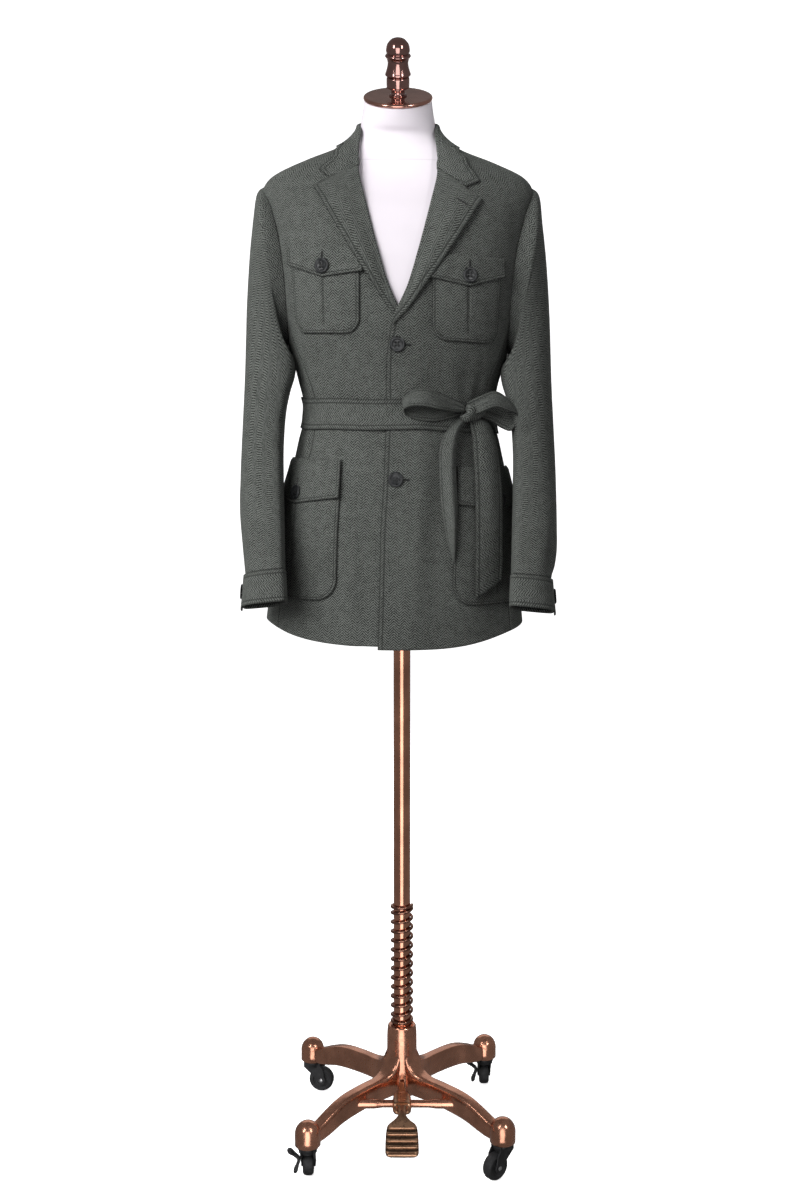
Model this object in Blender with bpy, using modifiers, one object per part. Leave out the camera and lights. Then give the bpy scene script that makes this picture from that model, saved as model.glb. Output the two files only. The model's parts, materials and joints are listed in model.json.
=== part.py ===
"""Belted safari jacket on a limbless dress form with a wheeled stand.

Metres, +Z up. The front faces -Y and +X is the wearer's left. The floor is Z = 0 under the pole.
The jacket is cut in panels on one smooth body surface. A place on that surface is an angle round
the body (0 at the centre front, 180 degrees at the centre back) and a height.
"""

import math

import bmesh
import bpy
import numpy as np
from mathutils import Matrix

# Cloth
CLOTH = 0.0015  # thickness of a layer
SEAM = 0.0008  # space between two sewn edges
LAY = 0.0010  # space between a piece and the cloth that it lies on
LAP = 0.0026  # how far the left front stands off where it laps over the right one
HANG = 0.043  # the garment hangs lower on the wearer's left, as a slope of height against X
FORM_SHIFT = -0.0033  # the form stands this far from the pole's axis, along X
SLEEVE_SHIFT = -0.0025  # both sleeves hang this far to the wearer's right
SIDE_DROP = {1: 0.004, -1: -0.003}  # how much lower each sleeve's wrist hangs
LAPEL_DROP = {1: 0.006, -1: -0.006}  # how much lower each lapel's point hangs

# Jacket places: heights along the centre of the body, widths along the cloth
BREAK_HEIGHT = 1.345  # where the lapel roll line starts, and where the armhole meets the side seams
WAIST_HEIGHT = 1.2045
BELT_WIDTH = 0.048
ARMHOLE_HEIGHT, ARMHOLE_HALF = 1.436, 0.125
ARMHOLE_FRONT, ARMHOLE_BACK = math.radians(27.5), math.radians(25.0)
CHEST_POCKET = {"middle": 0.113, "half": 0.0585, "top": 1.449, "bottom": 1.318, "corner": 0.024}
CHEST_FLAP = {"middle": 0.113, "half": 0.0590, "top": 1.451, "end": 1.4195, "point": 1.4060}
HIP_POCKET = {"middle": 0.178, "half": 0.0860, "top": 1.128, "bottom": 0.913, "corner": 0.034}
HIP_FLAP = {"middle": 0.178, "half": 0.0835, "top": 1.130, "end": 1.0730, "point": 1.0620}
CHEST_DROP = {1: 0.009, -1: 0.0}  # the left chest pocket sits a little lower
BUTTON_RADIUS, BUTTON_HEIGHT = 0.0117, 0.0034
FRONT_BUTTONS = (1.3115, 1.1070)
CUFF_LENGTH = 0.047
COLLAR_LIFT = 0.0038  # outer face of the collar's fall over the shoulders
LAPEL_SPRING = 0.0060  # how far the lapel stands off at its edge
POCKET_SPRING = {"chest": 0.0012, "hip": 0.0030}  # how far a pocket's middle stands off

# Form and stand
CAP_TILT = math.radians(27.0)
CAP_CENTRE = (-0.003, -0.0245, 1.6900)
CAP_RADIUS, CAP_THICKNESS = 0.0535, 0.006
TORSO_BOTTOM = 0.900
POLE_RADIUS, POLE_FOOT = 0.0130, 0.120
HUB_RADIUS, HUB_FOOT, HUB_TOP = 0.0250, 0.072, 0.1885
SPRING_TOP, SPRING_RADIUS, WIRE_RADIUS = 0.3986, 0.0162, 0.0019
BASE_TURN = math.radians(2.0)
CASTOR_RADIUS = 0.219  # from the pole to each castor's swivel axis
KNOB_RADIUS, KNOB_FOOT, KNOB_TOP = 0.0205, 0.0570, 0.0975
LEG_WIDTH = 0.022
WHEEL_RADIUS, WHEEL_WIDTH, WHEEL_SIDES = 0.0220, 0.0168, 20
TRAIL = 0.0160  # from a castor's swivel axis to its wheel's axle
PEDAL_AXIS = (-0.085, 0.0885)  # Y and Z of the cross bar that the pedal tips on

# Body rings: a row for each height of the jacket's outer surface
RINGS = [
    # height, centre, lean, half_width, front, back, fullness
    (0.845, -0.010, 0.000, 0.212, 0.150, 0.140, 0.030),
    (0.900, -0.009, 0.000, 0.206, 0.150, 0.138, 0.030),
    (0.960, -0.008, 0.000, 0.199, 0.148, 0.134, 0.030),
    (1.030, -0.006, 0.000, 0.189, 0.143, 0.128, 0.030),
    (1.100, -0.002, 0.000, 0.175, 0.133, 0.116, 0.030),
    (1.160, -0.001, 0.000, 0.161, 0.121, 0.104, 0.030),
    (1.208, -0.001, 0.000, 0.151, 0.113, 0.097, 0.030),
    (1.255, -0.003, 0.000, 0.158, 0.117, 0.101, 0.035),
    (1.300, -0.003, 0.000, 0.171, 0.126, 0.112, 0.040),
    (1.350, -0.003, 0.000, 0.181, 0.132, 0.122, 0.050),
    (1.410, -0.003, 0.000, 0.190, 0.130, 0.128, 0.055),
    (1.470, -0.003, 0.000, 0.199, 0.120, 0.128, 0.055),
    (1.520, -0.003, 0.000, 0.207, 0.102, 0.120, 0.050),
    (1.555, -0.003, -0.001, 0.2115, 0.078, 0.104, 0.040),
    (1.575, -0.003, -0.002, 0.1945, 0.066, 0.092, 0.030),
    (1.595, -0.003, -0.003, 0.1510, 0.058, 0.082, 0.020),
    (1.615, -0.003, -0.005, 0.0980, 0.052, 0.076, 0.010),
    (1.635, -0.003, -0.008, 0.0705, 0.050, 0.071, 0.000),
    (1.655, -0.003, -0.012, 0.0625, 0.050, 0.067, 0.000),
    (1.675, -0.003, -0.017, 0.0620, 0.050, 0.062, 0.000),
    (1.700, -0.003, -0.024, 0.0600, 0.050, 0.058, 0.000),
]

# How far the form's surface is inside the jacket's outer surface
FORM_INSETS = [
    # height, inset
    (0.880, 0.0140),
    (1.000, 0.0130),
    (1.120, 0.0085),
    (1.208, 0.0052),
    (1.300, 0.0062),
    (1.420, 0.0062),
    (1.520, 0.0068),
    (1.560, 0.0132),
    (1.620, 0.0120),
    (1.650, 0.0075),
    (1.700, 0.0075),
]

# Seams between a front and its side panel, and between the side panel and the back
SIDE_SEAMS = [
    # height, front_seam, back_seam (degrees)
    (0.845, 59.0, 115.0),
    (1.000, 58.0, 116.0),
    (1.170, 55.5, 118.0),
    (1.260, 58.0, 115.0),
    (BREAK_HEIGHT, 69.69, 108.49),
]

# Edge of a front from the hem to the break, roll line and front neckline above it
FRONT_EDGE = [
    # height, angle (degrees)
    (0.845, -6.5),
    (0.960, -6.4),
    (1.110, -5.4),
    (1.310, -5.0),
    (BREAK_HEIGHT, -2.6),
]
ROLL_LINE = [
    # along, angle (degrees), height
    (0.00, -2.6, BREAK_HEIGHT),
    (0.14, 2.0, 1.3950),
    (0.30, 7.0, 1.4500),
    (0.48, 11.1, 1.5120),
    (0.61, 13.5, 1.5570),
    (0.72, 19.8, 1.5900),
    (0.80, 28.0, 1.6060),
    (0.88, 43.0, 1.6210),
    (0.94, 65.0, 1.6310),
    (1.00, 90.0, 1.6330),
]
ROLL_AT_GORGE = 0.68
LAPEL_EDGE = [
    # along, angle (degrees), height
    (0.00, -2.0, 1.3390),
    (0.14, 5.6, 1.3620),
    (0.30, 13.0, 1.3990),
    (0.46, 20.0, 1.4360),
    (0.62, 26.5, 1.4760),
    (0.78, 32.3, 1.5140),
    (0.90, 36.0, 1.5410),
    (1.00, 28.9, 1.5565),
]
COLLAR = [
    # along, fold_angle, fold_height, middle_angle, middle_height, edge_angle, edge_height, stand
    (0.0, 180.0, 1.6650, 180.0, 1.6360, 180.0, 1.6020, 0.0300),
    (1.0, 150.0, 1.6630, 150.0, 1.6370, 150.0, 1.6050, 0.0290),
    (2.0, 120.0, 1.6590, 120.0, 1.6380, 120.0, 1.6110, 0.0260),
    (3.0, 90.0, 1.6500, 90.0, 1.6350, 90.0, 1.6170, 0.0170),
    (4.0, 65.0, 1.6430, 67.0, 1.6285, 68.0, 1.6135, 0.0110),
    (5.0, 43.0, 1.6260, 49.0, 1.6170, 53.0, 1.6080, 0.0045),
    (6.0, 28.0, 1.6070, 37.0, 1.5990, 44.5, 1.5970, 0.0),
    (7.0, 20.5, 1.5915, 32.0, 1.5770, 40.5, 1.5850, 0.0),
    (8.0, 17.6, 1.5815, 29.8, 1.5607, 37.4, 1.5710, 0.0),
]

# Sleeve rings after the armhole: the outer and inner edge seen from the front, and the depth
SLEEVE = [
    # outer_x, outer_height, inner_x, inner_height, middle_y, half_depth, pitch
    (0.2235, 1.5430, 0.1830, 1.3085, 0.004, 0.078, 0.00),
    (0.2310, 1.5120, 0.1840, 1.3050, 0.004, 0.083, 0.00),
    (0.2355, 1.4720, 0.1820, 1.3010, 0.003, 0.085, 0.00),
    (0.2385, 1.4220, 0.1785, 1.2955, 0.001, 0.084, 0.00),
    (0.2405, 1.3680, 0.1735, 1.2860, -0.002, 0.082, 0.00),
    (0.2415, 1.3130, 0.1695, 1.2660, -0.006, 0.079, 0.01),
    (0.2425, 1.2580, 0.1700, 1.2380, -0.011, 0.076, 0.03),
    (0.2440, 1.2030, 0.1775, 1.2030, -0.018, 0.073, 0.06),
    (0.2460, 1.1500, 0.1805, 1.1530, -0.030, 0.069, 0.09),
    (0.2480, 1.0980, 0.1820, 1.1030, -0.050, 0.064, 0.12),
    (0.2490, 1.0480, 0.1830, 1.0540, -0.074, 0.058, 0.15),
    (0.2465, 1.0000, 0.1840, 1.0070, -0.100, 0.053, 0.18),
    (0.2430, 0.9580, 0.1850, 0.9640, -0.121, 0.050, 0.20),
]

# Bow ribbons: a row across each ribbon, with the point at its upper or left edge and its other edge
RIGHT_LOOP = [
    # first_x, first_y, first_z, second_x, second_y, second_z
    (0.096, -0.1040, 1.2215, 0.096, -0.1040, 1.2065),
    (0.068, -0.1160, 1.2320, 0.066, -0.1180, 1.2080),
    (0.042, -0.1260, 1.2430, 0.045, -0.1320, 1.2150),
    (0.023, -0.1310, 1.2480, 0.021, -0.1390, 1.2180),
    (0.006, -0.1320, 1.2390, 0.007, -0.1370, 1.2160),
    (0.001, -0.1280, 1.2270, 0.003, -0.1310, 1.2105),
    (0.008, -0.1240, 1.2290, 0.007, -0.1250, 1.2050),
    (0.030, -0.1210, 1.2300, 0.031, -0.1220, 1.1985),
    (0.061, -0.1110, 1.2245, 0.062, -0.1120, 1.1985),
    (0.088, -0.1000, 1.2185, 0.087, -0.1000, 1.2050),
]
LEFT_LOOP = [
    # first_x, first_y, first_z, second_x, second_y, second_z
    (0.1294, -0.0929, 1.2210, 0.1300, -0.0934, 1.2040),
    (0.1440, -0.0890, 1.2420, 0.1470, -0.1020, 1.2110),
    (0.1630, -0.0830, 1.2280, 0.1655, -0.0980, 1.2100),
    (0.1830, -0.0760, 1.2120, 0.1745, -0.0870, 1.1920),
    (0.1770, -0.0670, 1.2160, 0.1680, -0.0790, 1.1800),
    (0.1550, -0.0690, 1.2220, 0.1550, -0.0760, 1.1850),
    (0.1405, -0.0765, 1.2200, 0.1405, -0.0775, 1.2010),
]
RIGHT_TAIL = [
    # first_x, first_z, first_lift, second_x, second_z, second_lift, bulge
    (0.0900, 1.1990, 0.0045, 0.1050, 1.1955, 0.0046, 0.000),
    (0.0640, 1.1780, 0.0080, 0.0920, 1.1750, 0.0165, 0.006),
    (0.0545, 1.1370, 0.0060, 0.0850, 1.1420, 0.0160, 0.008),
    (0.0600, 1.0830, 0.0055, 0.0870, 1.0900, 0.0150, 0.008),
    (0.0640, 1.0350, 0.0055, 0.0840, 1.0360, 0.0130, 0.008),
    (0.0740, 1.0040, 0.0060, 0.0835, 1.0040, 0.0110, 0.006),
    (0.0800, 0.9830, 0.0075, 0.0815, 0.9830, 0.0080, 0.001),
]
LEFT_TAIL = [
    # first_x, first_z, first_lift, second_x, second_z, second_lift, bulge
    (0.1100, 1.1970, 0.0045, 0.1260, 1.1960, 0.0045, 0.000),
    (0.1060, 1.1800, 0.0080, 0.1380, 1.1850, 0.0120, 0.007),
    (0.1100, 1.1500, 0.0090, 0.1465, 1.1600, 0.0140, 0.008),
    (0.1120, 1.0820, 0.0112, 0.1520, 1.0950, 0.0160, 0.005),
    (0.1130, 1.0150, 0.0100, 0.1545, 1.0300, 0.0150, 0.003),
    (0.1130, 0.9550, 0.0090, 0.1550, 0.9800, 0.0130, 0.001),
    (0.1125, 0.9240, 0.0085, 0.1550, 0.9530, 0.0120, 0.001),
]

LEG_PATH = [
    # out, top, bottom
    (0.0310, 0.1240, 0.0760),
    (0.0420, 0.1155, 0.0755),
    (0.0600, 0.1120, 0.0750),
    (0.0900, 0.1115, 0.0745),
    (0.1250, 0.1095, 0.0720),
    (0.1500, 0.1045, 0.0685),
    (0.1750, 0.0950, 0.0615),
    (0.1950, 0.0860, 0.0575),
    (0.2150, 0.0800, 0.0578),
]
PEDAL_PATH = [
    # out, height, half_width, half_thickness
    (0.0340, 0.0970, 0.0050, 0.0050),
    (0.0560, 0.0945, 0.0060, 0.0060),
    (0.0700, 0.0900, 0.0140, 0.0105),
    (0.1000, 0.0885, 0.0150, 0.0105),
    (0.1080, 0.0900, 0.0075, 0.0060),
    (0.1260, 0.0880, 0.0065, 0.0050),
    (0.1340, 0.0840, 0.0130, 0.0050),
    (0.1430, 0.0770, 0.0225, 0.0050),
    (0.1680, 0.0560, 0.0255, 0.0050),
    (0.1760, 0.0490, 0.0245, 0.0055),
]
ROCKER_PATH = [
    # side, height, half_width, half_thickness
    (0.0325, 0.0455, 0.0030, 0.0020),
    (0.0285, 0.0425, 0.0062, 0.0035),
    (0.0215, 0.0370, 0.0045, 0.0026),
    (0.0150, 0.0300, 0.0045, 0.0028),
    (0.0172, 0.0200, 0.0045, 0.0026),
    (0.0200, 0.0115, 0.0062, 0.0035),
    (0.0212, 0.0065, 0.0030, 0.0020),
]
FINIAL_PROFILE = [
    # radius, height above the cap
    (0.0170, 0.0),
    (0.0160, 0.0040),
    (0.0110, 0.0110),
    (0.0112, 0.0200),
    (0.0158, 0.0245),
    (0.0162, 0.0295),
    (0.0140, 0.0325),
    (0.0168, 0.0360),
    (0.0172, 0.0490),
    (0.0142, 0.0525),
    (0.0172, 0.0560),
    (0.0180, 0.0670),
    (0.0150, 0.0770),
    (0.0080, 0.0828),
]
CASTORS = [
    # name, leg_angle, trail_angle (degrees), brake_side
    ("front_right", 225.0, 90.0, 1),
    ("front_left", 315.0, 220.0, 0),
    ("back_right", 135.0, -6.0, 0),
    ("back_left", 45.0, 90.0, 1),
]

HEIGHTS = np.array(
    [0.845, 0.90, 0.95, 1.00, 1.05, 1.10, 1.14, 1.175, 1.208, 1.24, 1.275, 1.31, BREAK_HEIGHT]
)
ARM_STEPS, SIDE_STEPS = 8, 4
ARM_FRONT = math.acos((BREAK_HEIGHT - ARMHOLE_HEIGHT) / ARMHOLE_HALF)


def through(rows, at):
    """Values at each place on smooth curves through the rows, whose first column is the place."""
    rows = np.asarray(rows, float)
    at = np.asarray(at, float)
    place, value = rows[:, 0], rows[:, 1:]
    slope = np.gradient(value, place, axis=0)
    low = np.clip(np.searchsorted(place, at, side="right") - 1, 0, len(place) - 2)
    span = (place[low + 1] - place[low])[..., None]
    part = np.clip((at[..., None] - place[low][..., None]) / span, 0, 1)
    rest = 1 - part
    return (
        (1 + 2 * part) * rest**2 * value[low]
        + part * rest**2 * span * slope[low]
        + part**2 * (3 - 2 * part) * value[low + 1]
        - part**2 * rest * span * slope[low + 1]
    )


def ease(part):
    part = np.clip(part, 0, 1)
    return part * part * (3 - 2 * part)


def ring(angle, height, inset=0.0):
    """Point of the body surface: an ellipse with its quarters filled out, sloped by the hang."""
    angle, height, inset = np.broadcast_arrays(*(np.asarray(v, float) for v in (angle, height, inset)))
    centre, lean, half_width, front, back, fullness = np.moveaxis(through(RINGS, height), -1, 0)
    fuller = 1 + fullness * np.sin(2 * angle) ** 2
    ahead = np.cos(angle)
    x = centre + (half_width - inset) * np.sin(angle) * fuller
    y = lean - (np.where(ahead > 0, front, back) - inset) * ahead * fuller
    return np.stack([x, y, height - slope(height, ease((0.77 - ahead) / 0.6)) * x], -1)


def slope(height, aside):
    """How the height falls with X: none at the hem, full at the chest, level over the shoulders."""
    return HANG * ease((height - 0.95) / 0.45) * (1 - 0.9 * aside * ease((height - 1.49) / 0.075))


def skin(angle, height, lift=0.0):
    """Point of the body surface moved out by the lift, along the surface's normal."""
    step = 1e-4
    across = ring(angle + step, height) - ring(angle - step, height)
    along = ring(angle, height + step) - ring(angle, height - step)
    out = np.cross(across, along)
    out /= np.linalg.norm(out, axis=-1, keepdims=True)
    return ring(angle, height) + out * np.asarray(lift, float)[..., None]


def angle_at(arc, height):
    """Angle of the place this far along the cloth from the centre front, at a height."""
    arc, height = np.broadcast_arrays(np.asarray(arc, float), np.asarray(height, float))
    turns = np.linspace(0, math.pi, 61)
    points = ring(turns, height[..., None])
    steps = np.linalg.norm(np.diff(points[..., :2], axis=-2), axis=-1)
    run = np.concatenate([np.zeros(steps.shape[:-1] + (1,)), np.cumsum(steps, -1)], -1)
    low = np.clip((run < np.abs(arc)[..., None]).sum(-1) - 1, 0, 59)
    start = np.take_along_axis(run, low[..., None], -1)[..., 0]
    length = np.take_along_axis(steps, low[..., None], -1)[..., 0]
    return np.sign(arc) * (turns[low] + (np.abs(arc) - start) / length * (turns[1] - turns[0]))


def front_at(x, height, lift):
    """Point in front of the body at an X and a height, moved out by the lift."""
    x, height, lift = np.broadcast_arrays(*(np.asarray(v, float) for v in (x, height, lift)))
    turns = np.radians(np.linspace(-89, 89, 179))
    table = ring(turns, height[..., None])[..., 0]
    low = np.clip((table < x[..., None]).sum(-1) - 1, 0, 177)
    start = np.take_along_axis(table, low[..., None], -1)[..., 0]
    end = np.take_along_axis(table, low[..., None] + 1, -1)[..., 0]
    return skin(turns[low] + (x - start) / (end - start) * (turns[1] - turns[0]), height, lift)


def coons(bottom, top, start, end):
    """Grid of (angle, height) places inside four edges, which meet at the corners."""
    across = np.linspace(0, 1, len(bottom))[None, :, None]
    up = np.linspace(0, 1, len(start))[:, None, None]
    ruled = (1 - up) * bottom[None] + up * top[None] + (1 - across) * start[:, None] + across * end[:, None]
    corners = (1 - up) * ((1 - across) * bottom[0] + across * bottom[-1])
    return ruled - corners - up * ((1 - across) * top[0] + across * top[-1])


def armhole(turn):
    """(angle, height) on the armhole: turn 0 is the shoulder, a quarter turn is the front."""
    turn = np.asarray(turn, float)
    sine = np.sin(turn)
    reach = np.where(sine > 0, ARMHOLE_FRONT, ARMHOLE_BACK) * np.sign(sine) * np.abs(sine) ** 0.8
    return np.stack([math.pi / 2 - reach, ARMHOLE_HEIGHT + ARMHOLE_HALF * np.cos(turn)], -1)


def armhole_turns():
    """Turns of the armhole's corner points: up the front, under the arm, up the back."""
    front = np.linspace(0, ARM_FRONT, ARM_STEPS + 1)
    under = np.linspace(ARM_FRONT, 2 * math.pi - ARM_FRONT, SIDE_STEPS + 1)
    return front, under, 2 * math.pi - front[::-1]


def hem(angle):
    """Height of the hem: lowest at the front edge of the left front, a little higher at the sides."""
    turn = np.degrees(np.abs(angle))
    right = np.where(np.sin(angle) < 0, 0.0030, -0.0020) * (1 - ease((turn - 60) / 60))
    return 0.851 + 0.029 * ease((turn - 15) / 70) - 0.006 * ease((turn - 100) / 60) + right


def front_lift(side, angle, height):
    """How far a front stands off the body: the left one where it laps over the right one."""
    near = 1 - ease((np.degrees(angle) - 9) / 12)
    below = 1 - ease((height - 1.375) / 0.06)
    return LAP * near * below if side > 0 else np.zeros(np.shape(angle))


def paint(name, colour, roughness, metallic=0.0):
    """A Principled material."""
    material = bpy.data.materials.new(name)
    material.use_nodes = True
    shader = material.node_tree.nodes["Principled BSDF"]
    shader.inputs["Base Color"].default_value = (*colour, 1.0)
    shader.inputs["Roughness"].default_value = roughness
    shader.inputs["Metallic"].default_value = metallic
    return material


def add(name, mesh, look, collection, location=(0, 0, 0), turn=(0, 0, 0), parent=None):
    """Object with its own material in the collection."""
    item = bpy.data.objects.new(name, mesh)
    item.location = location
    item.rotation_euler = turn
    item.data.materials.append(paint(name, *look))
    collection.objects.link(item)
    item.parent = parent
    return item


def surface(name, grid, around=False):
    """Open surface through a grid of points, in triangles; around closes it along its columns."""
    rows, columns = grid.shape[:2]
    number = np.arange(rows * columns).reshape(rows, columns)
    if around:
        number = np.concatenate([number, number[:, :1]], 1)
    a, b, c, d = number[:-1, :-1], number[:-1, 1:], number[1:, 1:], number[1:, :-1]
    faces = np.concatenate([np.stack([a, b, c], -1).reshape(-1, 3), np.stack([a, c, d], -1).reshape(-1, 3)])
    mesh = bpy.data.meshes.new(name)
    mesh.from_pydata(grid.reshape(-1, 3).tolist(), [], faces.tolist())
    mesh.shade_smooth()
    return mesh


def solid(name, grid):
    """Closed body through rings of points, with flat ends."""
    mesh = surface(name, grid, around=True)
    shape = bmesh.new()
    shape.from_mesh(mesh)
    bmesh.ops.holes_fill(shape, edges=[edge for edge in shape.edges if edge.is_boundary], sides=0)
    bmesh.ops.recalc_face_normals(shape, faces=shape.faces)
    shape.to_mesh(mesh)
    shape.free()
    mesh.set_sharp_from_angle(angle=math.radians(40))
    return mesh


def cloth(name, grid, place, offset=-1.0, around=False, side=1):
    """A layer of cloth: the surface with its thickness to the inside, or to both sides at offset 0."""
    mesh = surface(name, grid if side > 0 else grid[:, ::-1], around)
    item = add(name, mesh, CLOTH_LOOK, place["parts"], parent=place["form"])
    thick = item.modifiers.new("Thickness", "SOLIDIFY")
    thick.thickness = CLOTH
    thick.offset = offset
    return item


def turned(name, profile, steps, look, place, **where):
    """Turned solid: a profile of (radius, height) spun about Z."""
    mesh = bpy.data.meshes.new(name)
    points = [(radius, 0.0, height) for radius, height in profile]
    mesh.from_pydata(points, [(i, i + 1) for i in range(len(points) - 1)], [])
    item = add(name, mesh, look, place["parts"], **where)
    spin = item.modifiers.new("Spin", "SCREW")
    spin.steps = steps
    spin.render_steps = steps
    spin.use_merge_vertices = True
    spin.merge_threshold = 0.0001
    return item


def path_solid(name, rows, axis):
    """Closed body along rows of (out, height, half_width, half_thickness), square to its path.

    Axis 0 lays the rows along -Y with the width along X, axis 1 along +X with the width along Y."""
    table = np.array(rows)
    path = table[:, :2]
    run = np.gradient(path, axis=0)
    run /= np.linalg.norm(run, axis=1, keepdims=True)
    cross = np.stack([-run[:, 1], run[:, 0]], -1)
    corners = [(1, 1), (-1, 1), (-1, -1), (1, -1)]
    grid = []
    for wide, thick in corners:
        flat = path + cross * (table[:, 3] * thick)[:, None]
        sideways = table[:, 2] * wide
        pair = (sideways, -flat[:, 0]) if axis == 0 else (flat[:, 0], sideways)
        grid.append(np.stack([*pair, flat[:, 1]], -1))
    return solid(name, np.stack(grid, 1))


def trimmed(item, cutter, operation):
    """Boolean of an item with a helper body."""
    change = item.modifiers.new(operation.title(), "BOOLEAN")
    change.operation = operation
    change.object = cutter


def helper(name, mesh, place, location=(0, 0, 0), turn=(0, 0, 0)):
    """A body that only shapes other bodies."""
    item = bpy.data.objects.new(name, mesh)
    item.location = location
    item.rotation_euler = turn
    item.hide_render = True
    item.display_type = "WIRE"
    place["cutters"].objects.link(item)
    return item


def block(name, size, centre):
    """Box mesh."""
    shape = bmesh.new()
    bmesh.ops.create_cube(shape, size=1.0)
    bmesh.ops.scale(shape, vec=size, verts=shape.verts)
    bmesh.ops.translate(shape, vec=centre, verts=shape.verts)
    mesh = bpy.data.meshes.new(name)
    shape.to_mesh(mesh)
    shape.free()
    return mesh


def rod(name, radius, length, sides):
    """Cylinder mesh along Z, centred."""
    shape = bmesh.new()
    bmesh.ops.create_cone(
        shape, cap_ends=True, segments=sides, radius1=radius, radius2=radius, depth=length
    )
    mesh = bpy.data.meshes.new(name)
    shape.to_mesh(mesh)
    shape.free()
    return mesh


CLOTH_LOOK = ((0.095, 0.100, 0.093), 0.9)
BUTTON_LOOK = ((0.030, 0.032, 0.032), 0.35)
FORM_LOOK = ((0.92, 0.90, 0.93), 0.5)
COPPER_LOOK = ((0.62, 0.36, 0.25), 0.18, 1.0)
SPRING_LOOK = ((0.28, 0.18, 0.13), 0.3, 1.0)
PEDAL_LOOK = ((0.45, 0.30, 0.21), 0.35, 1.0)
CASTOR_LOOK = ((0.020, 0.020, 0.020), 0.4)
WHEEL_LOOK = ((0.030, 0.030, 0.032), 0.5)


def make_fronts(place):
    """Each front: rings from the hem to the break, then up to the shoulder between lapel and armhole."""
    front_turns, _, _ = armhole_turns()
    for side, name in ((1, "front_left"), (-1, "front_right")):
        share = np.linspace(0, 1, 9)
        inner = np.radians(through(FRONT_EDGE, HEIGHTS)[:, 0])
        outer = np.radians(through(SIDE_SEAMS, HEIGHTS)[:, 0]) - SEAM / 2 / 0.17
        angle = inner[:, None] + (outer - inner)[:, None] * share
        height = np.repeat(HEIGHTS[:, None], 9, 1)
        height[0] = hem(side * np.maximum(angle[0], 0.01))
        lower = np.stack([angle, height], -1)
        roll = through(ROLL_LINE, np.linspace(0, 1, ARM_STEPS + 1) ** 0.9)
        start = np.stack([np.radians(roll[:, 0]), roll[:, 1]], -1)
        end = armhole(front_turns[::-1])
        end[:, 0] -= SEAM / 2 / 0.17
        ridge = np.linspace(0, 1, 9)[:, None] * (end[-1] - start[-1]) + start[-1]
        start[0], end[0] = lower[-1, 0], lower[-1, -1]
        upper = coons(lower[-1], ridge, start, end)
        upper[-1, :, 0] -= SEAM / 0.06
        grid = np.concatenate([lower, upper[1:]])
        lift = front_lift(side, grid[..., 0], grid[..., 1])
        cloth(name, skin(side * grid[..., 0], grid[..., 1], lift), place, side=side)


def make_sides(place):
    """Each side panel, from the hem up to the bottom of the armhole."""
    _, under, _ = armhole_turns()
    for side, name in ((1, "side_left"), (-1, "side_right")):
        seams = np.radians(through(SIDE_SEAMS, HEIGHTS))
        first = seams[:, 0] + SEAM / 2 / 0.17
        last = seams[:, 1] - SEAM / 2 / 0.17
        top = armhole(under)
        share = (top[:, 0] - top[0, 0]) / (top[-1, 0] - top[0, 0])
        angle = first[:, None] + (last - first)[:, None] * share
        height = np.repeat(HEIGHTS[:, None], SIDE_STEPS + 1, 1)
        shrink = (top[:, 1] - SEAM - HEIGHTS[-3]) / (BREAK_HEIGHT - HEIGHTS[-3])
        height[-2:] = HEIGHTS[-3] + (HEIGHTS[-2:, None] - HEIGHTS[-3]) * shrink
        height[0] = hem(side * angle[0])
        cloth(name, skin(side * angle, height), place, side=side)


def make_back(place):
    """The back, in one piece from side seam to side seam, up to the shoulders and the neckline."""
    _, _, back_turns = armhole_turns()
    share = np.linspace(0, 1, 13)
    first = np.radians(through(SIDE_SEAMS, HEIGHTS)[:, 1]) + SEAM / 2 / 0.17
    angle = first[:, None] + (2 * math.pi - 2 * first)[:, None] * share
    height = np.repeat(HEIGHTS[:, None], 13, 1)
    height[0] = hem(math.pi - np.abs(math.pi - angle[0]))
    lower = np.stack([angle, height], -1)
    start = armhole(back_turns)
    start[:, 0] += SEAM / 2 / 0.17
    neck = np.stack([np.radians((90, 120, 150, 180)), (1.633, 1.633, 1.634, 1.635)], -1)
    ridge = start[-1] + np.linspace(0, 1, 4)[:, None] * (neck[0] - start[-1])
    half = np.concatenate([ridge[:3], neck])
    mirrored = np.stack([2 * math.pi - half[:-1, 0], half[:-1, 1]], -1)[::-1]
    top = np.concatenate([half, mirrored])
    start[0] = lower[-1, 0]
    end = np.stack([2 * math.pi - start[:, 0], start[:, 1]], -1)
    upper = coons(lower[-1], top, start, end)
    upper[-1, :4, 0] += SEAM / 0.06
    upper[-1, -4:, 0] -= SEAM / 0.06
    grid = np.concatenate([lower, upper[1:]])
    cloth("back", skin(grid[..., 0], grid[..., 1]), place)


def sleeve_rings(side):
    """Rings of a sleeve's outer surface, from the armhole down to the wrist."""
    front, under, back = armhole_turns()
    turns = np.concatenate([front[:-1], under[:-1], back[:-1]])
    hole = armhole(turns)
    rings = [skin(side * hole[:, 0], hole[:, 1]) + np.array([side * 0.0007, 0.0, 0.0])]
    rings += [oval(side, turns, *sizes) for sizes in SLEEVE]
    return np.array(rings)


def oval(side, turns, outer_x, outer_height, inner_x, inner_height, middle_y, half_depth, pitch):
    """Ring of a sleeve between its outer and inner edge; the pitch raises its front."""
    share = (1 + np.cos(turns)) / 2
    x = SLEEVE_SHIFT + side * (inner_x + (outer_x - inner_x) * share)
    forth = -half_depth * np.sin(turns)
    z = inner_height + (outer_height - inner_height) * share - pitch * forth
    drop = slope(z, 1.0) * x + SIDE_DROP[side] * ease((1.25 - z) / 0.25)
    return np.stack([x, middle_y + forth, z - drop], -1)


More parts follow.
